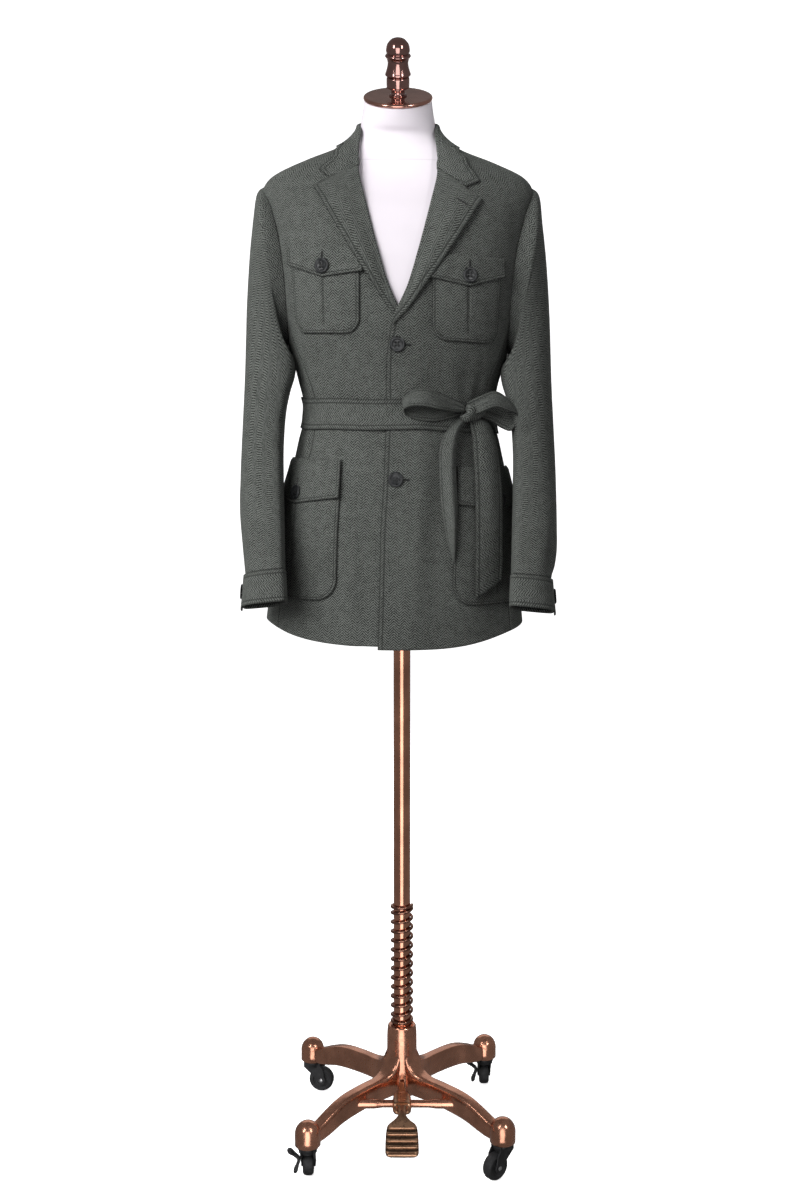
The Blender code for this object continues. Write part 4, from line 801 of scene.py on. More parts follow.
def lever(rows, steps, sides):
    """Bar along a path of rows (along, height, half_width, half_thickness), with a rounded outline square
    to the path: its places across, along and up."""
    path = along_rows(rows, steps)
    ahead = unit(np.gradient(path[:, :2], axis=0))
    rise = np.stack([-ahead[:, 1], ahead[:, 0]], -1)
    outline = squircle(sides)
    flat = path[:, None, :2] + rise[:, None] * (path[:, 3, None] * outline[:, 1])[..., None]
    return path[:, 2, None] * outline[:, 0], flat[..., 0], flat[..., 1]


class Recipe:
    """Small helper that adds shader nodes and joins them."""

    def __init__(self, name):
        self.material = bpy.data.materials.new(name)
        self.material.use_nodes = True
        self.tree = self.material.node_tree
        self.shader = self.tree.nodes["Principled BSDF"]

    def node(self, kind, inputs=(), **settings):
        """Node with settings; inputs give sockets by name or number a value or a link."""
        made = self.tree.nodes.new(kind)
        for key, value in settings.items():
            setattr(made, key, value)
        for key, value in dict(inputs).items():
            self.put(made.inputs[key], value)
        return made

    def put(self, socket, value):
        """Links an output into a socket, or sets the socket's value."""
        if isinstance(value, bpy.types.NodeSocket):
            self.tree.links.new(value, socket)
        else:
            socket.default_value = value

    def place(self):
        """Coordinates of the object itself."""
        return self.node("ShaderNodeTexCoord").outputs["Object"]

    def split(self, vector):
        """The three parts of a vector."""
        return self.node("ShaderNodeSeparateXYZ", {0: vector}).outputs

    def sum(self, operation, *values):
        """Math node."""
        return self.node("ShaderNodeMath", dict(enumerate(values)), operation=operation).outputs[0]

    def plus(self, first, second):
        """One value added to another."""
        return self.sum("ADD", first, second)

    def less(self, first, second):
        """One value without another."""
        return self.sum("SUBTRACT", first, second)

    def times(self, first, second):
        """One value times another."""
        return self.sum("MULTIPLY", first, second)

    def off(self, value, middle):
        """How far a value lies from a middle."""
        return self.sum("ABSOLUTE", self.less(value, middle))

    def between(self, value, low, high, first=0.0, last=1.0):
        """Smooth map of a value between two limits."""
        inputs = dict(enumerate((value, low, high, first, last)))
        return self.node("ShaderNodeMapRange", inputs, interpolation_type="SMOOTHSTEP").outputs[0]

    def noise(self, vector, scale, detail=2.0, rough=0.5):
        """Noise value on a vector."""
        inputs = {"Vector": vector, "Scale": scale, "Detail": detail, "Roughness": rough}
        return self.node("ShaderNodeTexNoise", inputs).outputs["Fac"]

    def blend(self, part, first, second):
        """Mix of two colours."""
        made = self.node("ShaderNodeMix", data_type="RGBA")
        self.put(made.inputs["Factor"], part)
        self.put(made.inputs[6], first)
        self.put(made.inputs[7], second)
        return made.outputs[2]

    def bump(self, height, distance=1.0, strength=1.0):
        """Bump normal from a height in metres."""
        made = self.node("ShaderNodeBump", {"Height": height, "Distance": distance, "Strength": strength})
        return made.outputs["Normal"]

    def set(self, **sockets):
        """Sets the Principled shader's sockets, with spaces for underscores."""
        for key, value in sockets.items():
            self.put(self.shader.inputs[key.replace("_", " ")], value)


def shade(colour, factor):
    """A colour times a factor, opaque."""
    return (*(channel * factor for channel in colour), 1.0)


def once(recipe):
    """Wraps a recipe, so that its material is made under a name once and found by that name afterwards."""

    def made(name, *values):
        if name not in bpy.data.materials:
            recipe(Recipe(name), *values)
        return bpy.data.materials[name]

    return made


@once
def wool(r):
    """Herringbone wool: a twill phase that folds back at each column and wanders a little, flecks of light and
    dark yarn, two rows of stitches beside an edge, and a valley at each plain seam. Painted shade darkens the
    stitch grooves, the seam valleys and the pocket pleats, and a painted shadow line runs along each edge."""
    look = bpy.context.scene.jacket
    uv = r.node("ShaderNodeUVMap", uv_map="weave").outputs[0]
    parts = r.split(uv)
    fold = r.sum("PINGPONG", parts[0], look.column)
    phase = r.times(r.plus(parts[1], fold), 2 * math.pi / look.pitch)
    phase = r.plus(phase, r.times(r.noise(uv, 130.0, 2.0), 2.5))
    twill = r.sum("MULTIPLY_ADD", r.sum("SINE", phase), 0.5, 0.5)
    fleck = r.between(r.noise(uv, 450.0, 2.0, 0.7), 0.30, 0.70)
    yarn = r.noise(uv, 1500.0, 1.0)
    slub = r.noise(uv, 80.0, 2.0)
    cloud = r.noise(uv, 9.0, 2.0)
    light = r.plus(r.times(twill, 0.70), r.times(fleck, 0.50))
    light = r.plus(light, r.sum("MULTIPLY_ADD", slub, 0.35, r.times(cloud, 0.25)))
    light = r.plus(light, r.times(yarn, 0.20))
    colour = r.blend(r.between(light, 0.48, 1.52), shade(look.yarn, 0.10), shade(look.yarn, 2.0))
    edge = r.split(r.node("ShaderNodeUVMap", uv_map="stitch").outputs[0])
    near = r.between(r.off(edge[1], 0.0022), 0.0002, 0.0010, 0.5, 0.0)
    far = r.between(r.off(edge[1], look.inset), 0.0005, 0.0016, 1.0, 0.0)
    # Stitch rows: sunk as a groove in the bump, and darkened in the colour below as painted shade in that
    # groove.
    rows = r.sum("MAXIMUM", near, far)
    dash = r.sum("PINGPONG", edge[0], 0.0017)
    thread = r.times(rows, r.between(dash, 0.0004, 0.0008))
    seam = r.node("ShaderNodeAttribute", attribute_name="seam").outputs["Fac"]
    # Valley by each plain seam and along the pocket pleats: sunk in the bump, and darkened in the colour as
    # painted shade.
    valley_and_shade = r.between(seam, 0.0, 0.0022, 1.0, 0.0)
    # Painted shadow: a dark line at each edge, fading out 2.4 mm in, as if the edge cast shade on the cloth.
    rim = r.between(edge[1], 0.0004, 0.0024, 0.75, 0.0)
    # The painted shade of the stitch grooves, seam valleys and pleats, and the painted edge shadow, darken the
    # colour together.
    dark = r.sum("MAXIMUM", r.times(rows, 0.72), r.times(valley_and_shade, 0.62))
    dark = r.sum("MAXIMUM", dark, rim)
    colour = r.blend(dark, colour, shade(look.yarn, 0.16))
    colour = r.blend(r.times(thread, 0.30), colour, shade(look.yarn, 1.30))
    swell = r.between(edge[1], 0.0, look.inset)
    puff = r.times(swell, r.less(1.0, swell))
    height = r.sum("MULTIPLY_ADD", twill, 0.00018, r.times(fleck, 0.00020))
    height = r.plus(height, r.sum("MULTIPLY_ADD", yarn, 0.00008, r.times(puff, 0.0024)))
    height = r.less(height, r.times(rows, 0.00060))
    height = r.plus(height, r.times(thread, 0.00025))
    height = r.less(height, r.times(valley_and_shade, 0.0009))
    r.set(
        Base_Color=colour, Roughness=0.88, Specular_IOR_Level=0.15, Sheen_Weight=0.06, Sheen_Roughness=0.45,
        Sheen_Tint=(0.75, 0.80, 0.74, 1.0), Normal=r.bump(height, 1.0, 0.9),
    )


@once
def horn(r):
    """Dark horn: streaked noise under a soft gloss."""
    base = bpy.context.scene.jacket.horn
    streak = r.noise(r.place(), 160.0, 4.0, 0.6)
    r.set(
        Base_Color=r.blend(r.between(streak, 0.35, 0.7), shade(base, 0.45), shade(base, 1.5)),
        Roughness=r.between(streak, 0.2, 0.8, 0.24, 0.38), Specular_IOR_Level=0.38,
        Normal=r.bump(r.times(streak, 0.0002), 1.0, 0.3),
    )


@once
def silk(r):
    """Dark buttonhole thread: fine wraps and a low sheen."""
    wraps = r.noise(r.place(), 1500.0, 1.0)
    r.set(
        Base_Color=r.blend(wraps, (0.004, 0.004, 0.004, 1.0), (0.018, 0.019, 0.018, 1.0)), Roughness=0.6,
        Normal=r.bump(r.times(wraps, 0.0004), 1.0, 0.6),
    )


@once
def jersey(r):
    """White stretch cover: fine knit, faint blotches and a soft seam round the neck."""
    base = bpy.context.scene.stand.cover
    place = r.place()
    knit = r.noise(place, 900.0, 1.0)
    blotch = r.noise(place, 14.0, 2.0)
    height = r.split(place)[2]
    seam = r.between(r.off(height, NECK_SEAM), 0.0002, 0.0016, 1.0, 0.0)
    colour = r.blend(r.between(blotch, 0.3, 0.7), shade(base, 0.97), shade(base, 1.0))
    colour = r.blend(r.times(seam, 0.32), colour, shade(base, 0.66))
    lift = r.less(r.times(knit, 0.00006), r.times(seam, 0.0002))
    r.set(
        Base_Color=colour, Roughness=0.55, Sheen_Weight=0.08, Specular_IOR_Level=0.3,
        Normal=r.bump(lift, 1.0, 0.7),
    )


@once
def metal(r, tint, rough, wear=0.12, cast=0.0, grooves=None):
    """Plated metal: blotches of tone, polish noise in the roughness, casting waves. Grooves, given by the
    height of the first, the pitch and the height of the last, are painted dark, as shade in them."""
    place = r.place()
    tone = r.noise(place, 22.0, 4.0, 0.6)
    polish = r.noise(place, 180.0, 3.0, 0.7)
    colour = r.blend(r.between(tone, 0.3, 0.72), shade(tint, 1 - 2 * wear), shade(tint, 1 + wear))
    if grooves:
        first, pitch, last = grooves
        # Painted shade: bands between the tread ridges darkened as if shade fell in the grooves.
        height = r.split(place)[2]
        phase = r.sum("FRACT", r.sum("DIVIDE", r.less(height, first), pitch))
        groove_shade = r.between(r.off(phase, 0.5), 0.16, 0.28, 1.0, 0.0)
        groove_shade = r.times(groove_shade, r.between(height, last, last + 0.0004))
        groove_shade = r.times(groove_shade, r.between(height, first - 0.0004, first, 1.0, 0.0))
        colour = r.blend(groove_shade, colour, shade(tint, 0.20))
    r.set(
        Base_Color=colour, Metallic=1.0, Roughness=r.between(polish, 0.25, 0.75, rough * 0.75, rough * 1.45),
    )
    if cast:
        waves = r.plus(r.times(r.noise(place, 60.0, 2.0), 0.7), r.times(polish, 0.12))
        r.set(Normal=r.bump(r.times(waves, cast), 1.0, 0.5))


def copper(cast=False):
    """The stand's copper, bright plate or a coarser casting."""
    look = bpy.context.scene.stand
    if cast:
        return metal("copper_casting", look.copper, look.gloss * 1.35, 0.14, 0.0014)
    return metal("copper_plate", look.copper, look.gloss)


@once
def moulded(r, base, rough, grain=0.00012):
    """Moulded plastic or rubber: fine grain in the bump, scuffs in the roughness."""
    place = r.place()
    fine = r.noise(place, 700.0, 2.0)
    scuff = r.noise(place, 60.0, 3.0, 0.7)
    r.set(
        Base_Color=r.blend(r.between(scuff, 0.45, 0.75), shade(base, 0.9), shade(base, 1.9)),
        Roughness=r.between(scuff, 0.3, 0.7, rough * 0.85, rough * 1.25),
        Specular_IOR_Level=0.24,
        Normal=r.bump(r.times(fine, grain), 1.0, 0.6),
    )


def weave_map(angle, height, start=0.0):
    """Metres across the grain from an angle, and up it."""
    level = np.minimum(height, GRAIN_TOP)
    across = arc_at(angle, level) - (arc_at(start, level) if start else 0.0)
    return np.stack([across, climb(height)], -1)


def make_fronts():
    """Each front: from the hem to the break between its edge and the side seam, then a four-edged patch
    up to the shoulder between the roll line and the armhole."""
    columns, low, high = 92, 160, 88
    share = np.linspace(0, 1, columns)
    for side, name in SIDES:
        foot = np.radians(FRONT_EDGE[0][1] + (SIDE_SEAMS[0][1] - FRONT_EDGE[0][1]) * share)
        bottom = hem(side * np.maximum(foot, 0.01))
        height = bottom + (BREAK_HEIGHT - bottom) * np.linspace(0, 1, low)[:, None]
        inner = np.radians(through(FRONT_EDGE, height)[..., 0])
        outer = np.radians(through(SIDE_SEAMS, height)[..., 0]) - SEAM_TURN
        lower = np.stack([inner + (outer - inner) * share, height], -1)
        roll = through(ROLL_LINE, np.linspace(0, 1, high) ** 0.9)
        start = np.stack([np.radians(roll[:, 0]), roll[:, 1]], -1)
        end = armhole(np.linspace(ARM_FRONT, 0, high))
        end[:, 0] -= SEAM_TURN
        ridge = share[:, None] * (end[-1] - start[-1]) + start[-1]
        start[0], end[0] = lower[-1, 0], lower[-1, -1]
        upper = coons(lower[-1], ridge, start, end)
        upper[-1, :, 0] -= SEAM / 0.06
        grid = np.concatenate([lower, upper[1:]])
        angle, height = grid[..., 0], grid[..., 1]
        points = skin(side * angle, height, front_lift(side, angle, height) + drape(side * angle, height))
        across, upwards = run(points, 1), run(points, 0)
        away = np.where(np.arange(len(grid))[:, None] < low, across, 1.0)
        stitch = np.stack([upwards, away], -1)
        seam = np.minimum(across[:, -1:] - across, upwards[-1:] - upwards)
        dart = np.abs(arc_at(angle, height) - 0.1215 + 0.05 * (height - 1.25))
        beside = (height > 1.165) & (height < 1.325)
        seam = np.where(beside, np.minimum(seam, dart + SEAM_SOFT), seam) + SEAM_SOFT
        weave = weave_map(angle, height) * np.array((side, 1.0))
        sew("front_" + name, points, weave, stitch, seam, turn=side < 0)


def make_sides():
    """Each side panel, between the two side seams from the hem up to the bottom of the armhole."""
    columns, rows = 48, 150
    under = np.linspace(ARM_FRONT, 2 * math.pi - ARM_FRONT, columns)
    top = armhole(under)
    share = (top[:, 0] - top[0, 0]) / (top[-1, 0] - top[0, 0])
    for side, name in SIDES:
        foot = np.radians(SIDE_SEAMS[0][1] + (SIDE_SEAMS[0][2] - SIDE_SEAMS[0][1]) * share)
        bottom = hem(side * foot)
        height = bottom + (top[:, 1] - 2 * SEAM - bottom) * np.linspace(0, 1, rows)[:, None]
        seams = np.radians(through(SIDE_SEAMS, height))
        first, last = seams[..., 0] + SEAM_TURN, seams[..., 1] - SEAM_TURN
        angle = first + (last - first) * share
        points = skin(side * angle, height, drape(side * angle, height))
        across, upwards = run(points, 1), run(points, 0)
        seam = np.minimum(from_ends(across), upwards[-1:] - upwards)
        weave = weave_map(angle, height, math.pi / 2)
        sew("side_" + name, points, weave, None, seam + SEAM_SOFT, turn=side < 0)


def make_back():
    """The back in one piece from side seam to side seam, then a four-edged patch up to the shoulders."""
    columns, low, high = 96, 100, 52
    share = np.linspace(0, 1, columns)
    first = math.radians(SIDE_SEAMS[0][2])
    foot = first + (2 * math.pi - 2 * first) * share
    bottom = hem(math.pi - np.abs(math.pi - foot))
    height = bottom + (BREAK_HEIGHT - bottom) * np.linspace(0, 1, low)[:, None]
    first = np.radians(through(SIDE_SEAMS, height)[..., 1]) + SEAM_TURN
    lower = np.stack([first + (2 * math.pi - 2 * first) * share, height], -1)
    start = armhole(np.linspace(2 * math.pi - ARM_FRONT, 2 * math.pi, high))
    start[:, 0] += SEAM_TURN
    start[0] = lower[-1, 0]
    end = np.stack([2 * math.pi - start[:, 0], start[:, 1]], -1)
    neck = [(math.pi / 2, 1.633), (2 * math.pi / 3, 1.633), (5 * math.pi / 6, 1.634), (math.pi, 1.635)]
    half = np.concatenate([start[-1:], neck])
    places = np.array([0.0, 0.25, 1 / 3, 5 / 12, 0.5])
    near = np.where(share <= 0.5, share, 1 - share)
    top = np.stack([np.interp(near, places, half[:, i]) for i in (0, 1)], -1)
    top[:, 0] = np.where(share <= 0.5, top[:, 0], 2 * math.pi - top[:, 0])
    upper = coons(lower[-1], top, start, end)
    grid = np.concatenate([lower, upper[1:]])
    angle, height = grid[..., 0], grid[..., 1]
    points = skin(angle, height, drape(angle, height))
    across, upwards = run(points, 1), run(points, 0)
    seam = np.minimum(from_ends(across), upwards[-1:] - upwards)
    level = np.minimum(height, GRAIN_TOP)
    total = np.interp(level, ARC_LEVELS, ARC_TABLE[:, -1])
    aside = (total - np.abs(arc_at(angle, level))) * np.sign(angle - math.pi)
    sew("back", points, np.stack([aside, climb(height)], -1), None, seam)


def oval(side, turns, sizes, square=0.30, nose=SLEEVE_NOSE):
    """Ring of a sleeve between its outer and inner edge, a little square so that its front is flat. The
    nose turns its foremost line towards the body, and the pitch raises its front."""
    outer_x, outer_height, inner_x, inner_height, middle_y, half_depth, pitch = sizes
    c, s = np.cos(turns), np.sin(turns - nose)
    share = (1 + c * (1 + square - square * c**2)) / 2
    x = SLEEVE_SHIFT + side * (inner_x + (outer_x - inner_x) * share)
    forth = -half_depth * s * (1 + square - square * s**2)
    z = inner_height + (outer_height - inner_height) * share - pitch * forth
    drop = slope(z, 1.0) * x + SIDE_DROP[side] * ease((1.25 - z) / 0.25)
    return np.stack([x, middle_y + forth, z - drop], -1)


def make_sleeves():
    """Each sleeve: smooth curves down through the armhole's ring and the table's ovals, with folds."""
    columns, rows = 104, 190
    turns = circle(columns)
    for side, name in SIDES:
        hole = armhole(turns)
        rings = [skin(side * hole[:, 0], hole[:, 1], -0.0012 + 0 * turns)]
        settle = ease((np.arange(len(SLEEVE)) + 1) / 3)
        rings += [oval(side, turns, sizes, 0.30 * t, SLEEVE_NOSE * t) for sizes, t in zip(SLEEVE, settle)]
        rings = np.array(rings)
        length = np.concatenate([[0.0], np.cumsum(np.linalg.norm(np.diff(rings, axis=0), axis=-1).mean(1))])
        table = np.column_stack([length, rings.reshape(len(rings), -1)])
        points = through(table, np.linspace(0, length[-1], rows)).reshape(rows, columns, 3)
        along = run(points, 0)
        total = along[-1].mean()
        level = along / along[-1:] * total
        lift = np.zeros(along.shape)
        for turn, down, *fold in SLEEVE_FOLDS[side]:
            aside = (turns - math.radians(turn) + math.pi) % (2 * math.pi) - math.pi
            lift += ridges([(0.0, down, *fold)], aside * SLEEVE_ROUND, level)
        head = np.exp(-((level / 0.030) ** 2)) * ease(level / 0.012) * ease((0.4 + np.cos(turns)) / 0.9)
        lift = lift * bpy.context.scene.jacket.folds * ease(level / 0.02) * ease((total - level) / 0.02)
        points = points + outward(points, True) * (lift + 0.0022 * head)[..., None] * side
        wide = run(np.concatenate([points, points[:, :1]], 1), 1)
        wide = wide - wide[:, columns // 4][:, None]
        weave = np.stack([wide, np.concatenate([level, level[:, :1]], 1)], -1)
        seam = level + SEAM_SOFT
        sew("sleeve_" + name, points, weave, None, seam, around=True, turn=side < 0)


def cuff_ring(side, turns, part):
    """Ring of a cuff at a part of its length: the sleeve's last oval carried on, a little wider."""
    outer_x, outer_height, inner_x, inner_height, middle_y, half_depth, pitch = SLEEVE[-1]
    down = 0.0007 + CUFF_LENGTH * part
    wider = 0.0012 + 0.0028 * part
    sizes = (outer_x + wider, outer_height - down, inner_x - wider, inner_height - down)
    return oval(side, turns, (*sizes, middle_y - 0.3 * down, half_depth + 0.0008, pitch))


def make_cuffs():
    """Each cuff: a band that carries on from the sleeve and laps over itself by the button, free end out."""
    columns, rows = 132, 22
    turns = np.linspace(math.radians(-12), 2 * math.pi + math.radians(18), columns)
    for side, name in SIDES:
        part = np.linspace(0, 1, rows)[:, None]
        free = ease((math.radians(30) - turns) / math.radians(42))
        bend = math.radians(7) * free
        points = np.array([cuff_ring(side, turns - bend * step**2, step) for step in part[:, 0]])
        lift = 0.0021 * ease((math.radians(75) - turns) / math.radians(60)) * np.ones_like(part)
        lift = lift + 0.0030 * free * part**2 - 0.0004 * ease((turns - 2 * math.pi + 0.2) / 0.3)
        points = points + outward(points) * lift[..., None] * side
        points[..., 2] -= 0.0035 * free * part**3
        across, down = run(points, 1), run(points, 0)
        away = np.minimum(np.minimum(down, down[-1:] - down), across)
        stitch = np.stack([across, away + 0.0012], -1)
        weave = np.stack([down, across], -1)
        sew("cuff_" + name, points, weave, stitch, turn=side < 0)


def roll_under(points, axis_lift, tuck):
    """Columns that carry a grid's first column round a fold: half a circle of the given radius about a
    line under it, then a flat tuck back under the piece."""
    out = outward(points)[:, 0]
    away = points[:, 0] - points[:, 1]
    away -= (away * out).sum(-1, keepdims=True) * out
    away = unit(away)
    middle = points[:, 0] - out * axis_lift
    swing = np.radians(np.linspace(180, 15, FOLD_COLUMNS))
    fold = middle[:, None] + axis_lift * (
        np.cos(swing)[None, :, None] * out[:, None] + np.sin(swing)[None, :, None] * away[:, None]
    )
    under = fold[:, :1] - away[:, None] * np.linspace(tuck, tuck / 4, TUCK_COLUMNS)[None, :, None]
    return np.concatenate([under, fold, points], 1)


def make_lapels():
    """Each lapel lies on its front between the roll line and its own edge, and folds under at the roll."""
    columns = 42
    along = np.concatenate([np.linspace(0, 0.9, 104), np.linspace(0.9, 1, 18)[1:]])
    roll = through(ROLL_LINE, along * ROLL_AT_GORGE)
    part = np.clip((along - 0.9) / 0.1, 0, 1)[:, None]
    edge = through(LAPEL_EDGE, along) * (1 - part) + np.array(NOTCH) * part
    across = np.linspace(0, 1, columns)[None, :, None]
    grid = roll[:, None] * (1 - across) + edge[:, None] * across
    spring = LAPEL_SPRING * ease(1.7 * across[..., 0]) * ease(along / 0.35)[:, None]
    spring = spring * (1 - 0.75 * ease((along - 0.75) / 0.25))[:, None]
    for side, name in SIDES:
        height = grid[..., 1] - LAPEL_DROP[side] * (along[:, None] * across[..., 0]) ** 1.5
        angle = np.radians(grid[..., 0] + 0.15)
        rise = spring * (1 if side > 0 else ease((height - 1.37) / 0.05))
        lift = LAY + CLOTH + rise + front_lift(side, angle, height) + drape(side * angle, height)
        mirror = np.array((side, 1.0, 1.0))
        points = roll_under(skin(side * angle, height, lift) * mirror, LAPEL_ROLL, LAPEL_TUCK) * mirror
        wide, tall = run(points, 1), run(points, 0)
        wide = wide - wide[:, ROLLED, None]
        away = np.minimum(wide[:, -1:] - wide, (tall[-1:] - tall) + 0.012 * (1 - ease((wide - 0.03) / 0.03)))
        stitch = np.stack([tall, away], -1)
        weave = np.stack([wide * side, tall], -1)
        sew("lapel_" + name, points, weave, stitch, turn=side < 0)


def make_collar():
    """The collar's fall lies on the shoulders and folds over at the top; its stand rises inside."""
    rows, columns = 27, 201
    along = np.linspace(-8, 8, columns)
    table = through(COLLAR, np.abs(along))
    sign = np.where(along < 0, -1.0, 1.0)
    across = np.linspace(0, 1, rows)[:, None]
    weights = ((1 - across) * (1 - 2 * across), 4 * across * (1 - across), across * (2 * across - 1))
    fold, middle, edge = (np.stack([table[:, i], table[:, i + 1]], -1) for i in (0, 2, 4))
    grid = sum(weight[..., None] * row[None] for weight, row in zip(weights, (fold, middle, edge)))
    inner, outer = np.clip(2 * across, 0, 1)[..., None], np.clip(2 * across - 1, 0, 1)[..., None]
    bent = fold + (middle - fold) * inner + (edge - middle) * outer
    grid = grid + (bent - grid) * ease((np.abs(along) - 6) / 1.5)[:, None]
    angle = np.radians(grid[..., 0])
    behind = np.where(sign < 0, 2 * math.pi - angle, angle)
    over_ridge = np.exp(-(((grid[..., 0] - 90) / 16) ** 2))
    lift = 0.0012 + (COLLAR_LIFT - 0.0012 - 0.0021 * over_ridge) * ease(3 * across)
    drop = np.where(sign < 0, LAPEL_DROP[-1], LAPEL_DROP[1]) * 0.7 * across * ease((np.abs(along) - 4) / 4)
    points = skin(behind, grid[..., 1] - drop, lift)
    points = roll_under(np.swapaxes(points, 0, 1)[::-1], COLLAR_ROLL, COLLAR_TUCK)
    points = np.swapaxes(points[::-1], 0, 1)
    tall, wide = run(points, 0), run(points, 1)
    tall = tall - tall[ROLLED]
    ends = from_ends(wide) + 0.012 * (1 - ease((tall - 0.02) / 0.03))
    stitch = np.stack([np.where(ends < tall[-1:] - tall, tall, wide), np.minimum(tall[-1:] - tall, ends)], -1)
    weave = np.stack([wide - wide[:, columns // 2][:, None], -tall], -1)
    blend = ease((np.abs(along) - 4.0) / 1.5)[None, :, None]
    normal = outward(points)
    row = ROLLED + rows // 2
    for side in (-1, 1):
        at = int(np.argmin(np.abs(along - side * 6.6)))
        origin, out = points[row, at], normal[row, at]
        ahead = points[row, at + 3] - points[row, at - 3]
        ahead = unit(ahead - out * (ahead @ out))
        aside = np.cross(out, ahead)
        if (points[row + 4, at] - points[row - 4, at]) @ aside > 0:
            aside = -aside
        flat = np.stack([(points - origin) @ ahead, (points - origin) @ aside], -1) + weave[row, at]
        weave = np.where((sign == side)[None, :, None], weave + (flat - weave) * blend, weave)
    sew("collar", points[::-1], weave[::-1], stitch[::-1], turn=True)
    along = np.linspace(-5, 5, 160)
    table = through(COLLAR, np.abs(along))
    angle = np.radians(table[:, 0])
    behind = np.where(along < 0, 2 * math.pi - angle, angle)
    down = np.linspace(1, 0, 12)[:, None]
    height = table[:, 1] - table[:, 6] * down + 0.0012 * down
    points = skin(np.broadcast_to(behind, height.shape), height, 0 * height)
    weave = np.stack([run(points, 1), run(points, 0)], -1)
    sew("collar_stand", points, weave, turn=True)


def pocket_edge(sizes, aside, height):
    """Distance inside a patch pocket's outline: straight sides and bottom, round lower corners."""
    within = sizes["half"] - np.abs(aside)
    up = height - sizes["bottom"]
    r = sizes["corner"]
    round_corner = r - np.hypot(np.maximum(r - within, 0), np.maximum(r - up, 0))
    return np.where((within < r) & (up < r), round_corner, np.minimum(within, up))


def make_pockets():
    """Patch pockets with a middle pleat on the cloth, and pointed flaps over them."""
    rows, columns = 64, 72
    share = np.sin(np.linspace(-math.pi / 2, math.pi / 2, columns))
    for kind, sizes in POCKETS.items():
        aside = sizes["half"] * share
        past = np.clip(1 - (1 - np.abs(share)) * sizes["half"] / sizes["corner"], 0, 1)
        low = sizes["bottom"] + sizes["corner"] * (1 - np.sqrt(1 - 0.9995 * past**2))
        up = np.linspace(0, 1, rows)[:, None]
        level = low + (sizes["top"] - low) * up
        swell = (1 - share**4) * np.sin(math.pi * up) ** 0.7
        pleat = np.abs(aside + 0 * level)
        slit = np.exp(-((pleat / 0.0022) ** 2)) * ease((level - sizes["bottom"] - 0.004) / 0.05)
        edge = pocket_edge(sizes, aside + 0 * level, level)
        flap = FLAPS[kind]
        share_flap = np.linspace(-1, 1, columns)
        end = np.where(share_flap < 0, flap["inner"], flap["outer"])
        low_flap = flap["point"] + (end - flap["point"]) * np.abs(share_flap)
        down = np.linspace(1, 0, 34)[:, None]
        level_flap = flap["top"] + (low_flap - flap["top"]) * down
        within = flap["half"] * (1 - np.abs(share_flap)) + 0 * level_flap
        edge_flap = np.minimum(level_flap - low_flap, within)
        for side, name in SIDES:
            middle, drop = POCKET_MIDDLE[kind][side], POCKET_DROP[kind][side]
            height = level - drop
            angle = angle_at(side * (middle + aside) + 0 * height, height)
            lift = ON_PANEL + POCKET_SPRING[kind] * swell - 0.0012 * slit
            points = skin(angle, height, lift + drape(angle, height))
            wide, tall = run(points, 1), run(points, 0)
            stitch = np.stack([wide + tall, 1.6 * edge], -1)
            weave = np.stack([(aside + 0 * level) * side, level], -1)
            # Distance read by the wool's seam valley and its painted shade: darkest along the middle pleat,
            # fading out by the pocket's foot.
            seam = 0.7 * pleat + 0.002 * (1 - ease((level - sizes["bottom"]) / 0.02))
            sew(f"{kind}_pocket_{name}", points, weave, stitch, seam, turn=side < 0)
            height = level_flap - drop
            angle = angle_at(side * (middle + flap["half"] * share_flap) + 0 * height, height)
            curl = 0.0014 * down**3 * np.abs(share_flap) ** 3
            ripple = 0.0005 * down**2 * np.sin(7 * share_flap + side)
            lift = ON_POCKET + POCKET_SPRING[kind] * down + curl + ripple - 0.0018 * (1 - ease(down / 0.10))
            points = skin(angle, height, lift + drape(angle, height))
            stitch = np.stack([run(points, 1), 1.5 * edge_flap], -1)
            weave = np.stack([(flap["half"] * share_flap + 0 * level_flap) * side, level_flap], -1)
            sew(f"{kind}_flap_{name}", points, weave, stitch, turn=side < 0)


def ribbon(rows, steps, columns):
    """Grid across a ribbon through its rows of two edge points."""
    both = along_rows(rows, steps)
    across = np.linspace(0, 1, columns)[None, :, None]
    return both[:, None, :3] * (1 - across) + both[:, None, 3:6] * across


def tail(rows, steps, columns, crease):
    """Grid of a hanging belt end, in front of the body, pushed out by the bulge along a soft crease."""
    both = along_rows(rows, steps)
    across = np.linspace(0, 1, columns)[None, :]
    x, z, lift = (both[:, None, i] * (1 - across) + both[:, None, i + 3] * across for i in (0, 1, 2))
    peak = np.minimum(across / crease, (1 - across) / (1 - crease))
    return front_at(x, z, lift + both[:, None, 6] * (0.45 * np.sin(math.pi * across) + 0.6 * ease(peak)))


def belt_maps(points):
    """Weave and stitch maps of a belt piece whose width runs along its columns."""
    share = np.linspace(0, 1, points.shape[1])[None, :]
    along = np.broadcast_to(run(points, 0)[:, points.shape[1] // 2][:, None], points.shape[:2])
    across = np.broadcast_to(share * BELT_WIDTH, along.shape)
    edge = np.minimum(across, BELT_WIDTH - across)
    return np.stack([along, across], -1), np.stack([along, edge], -1)


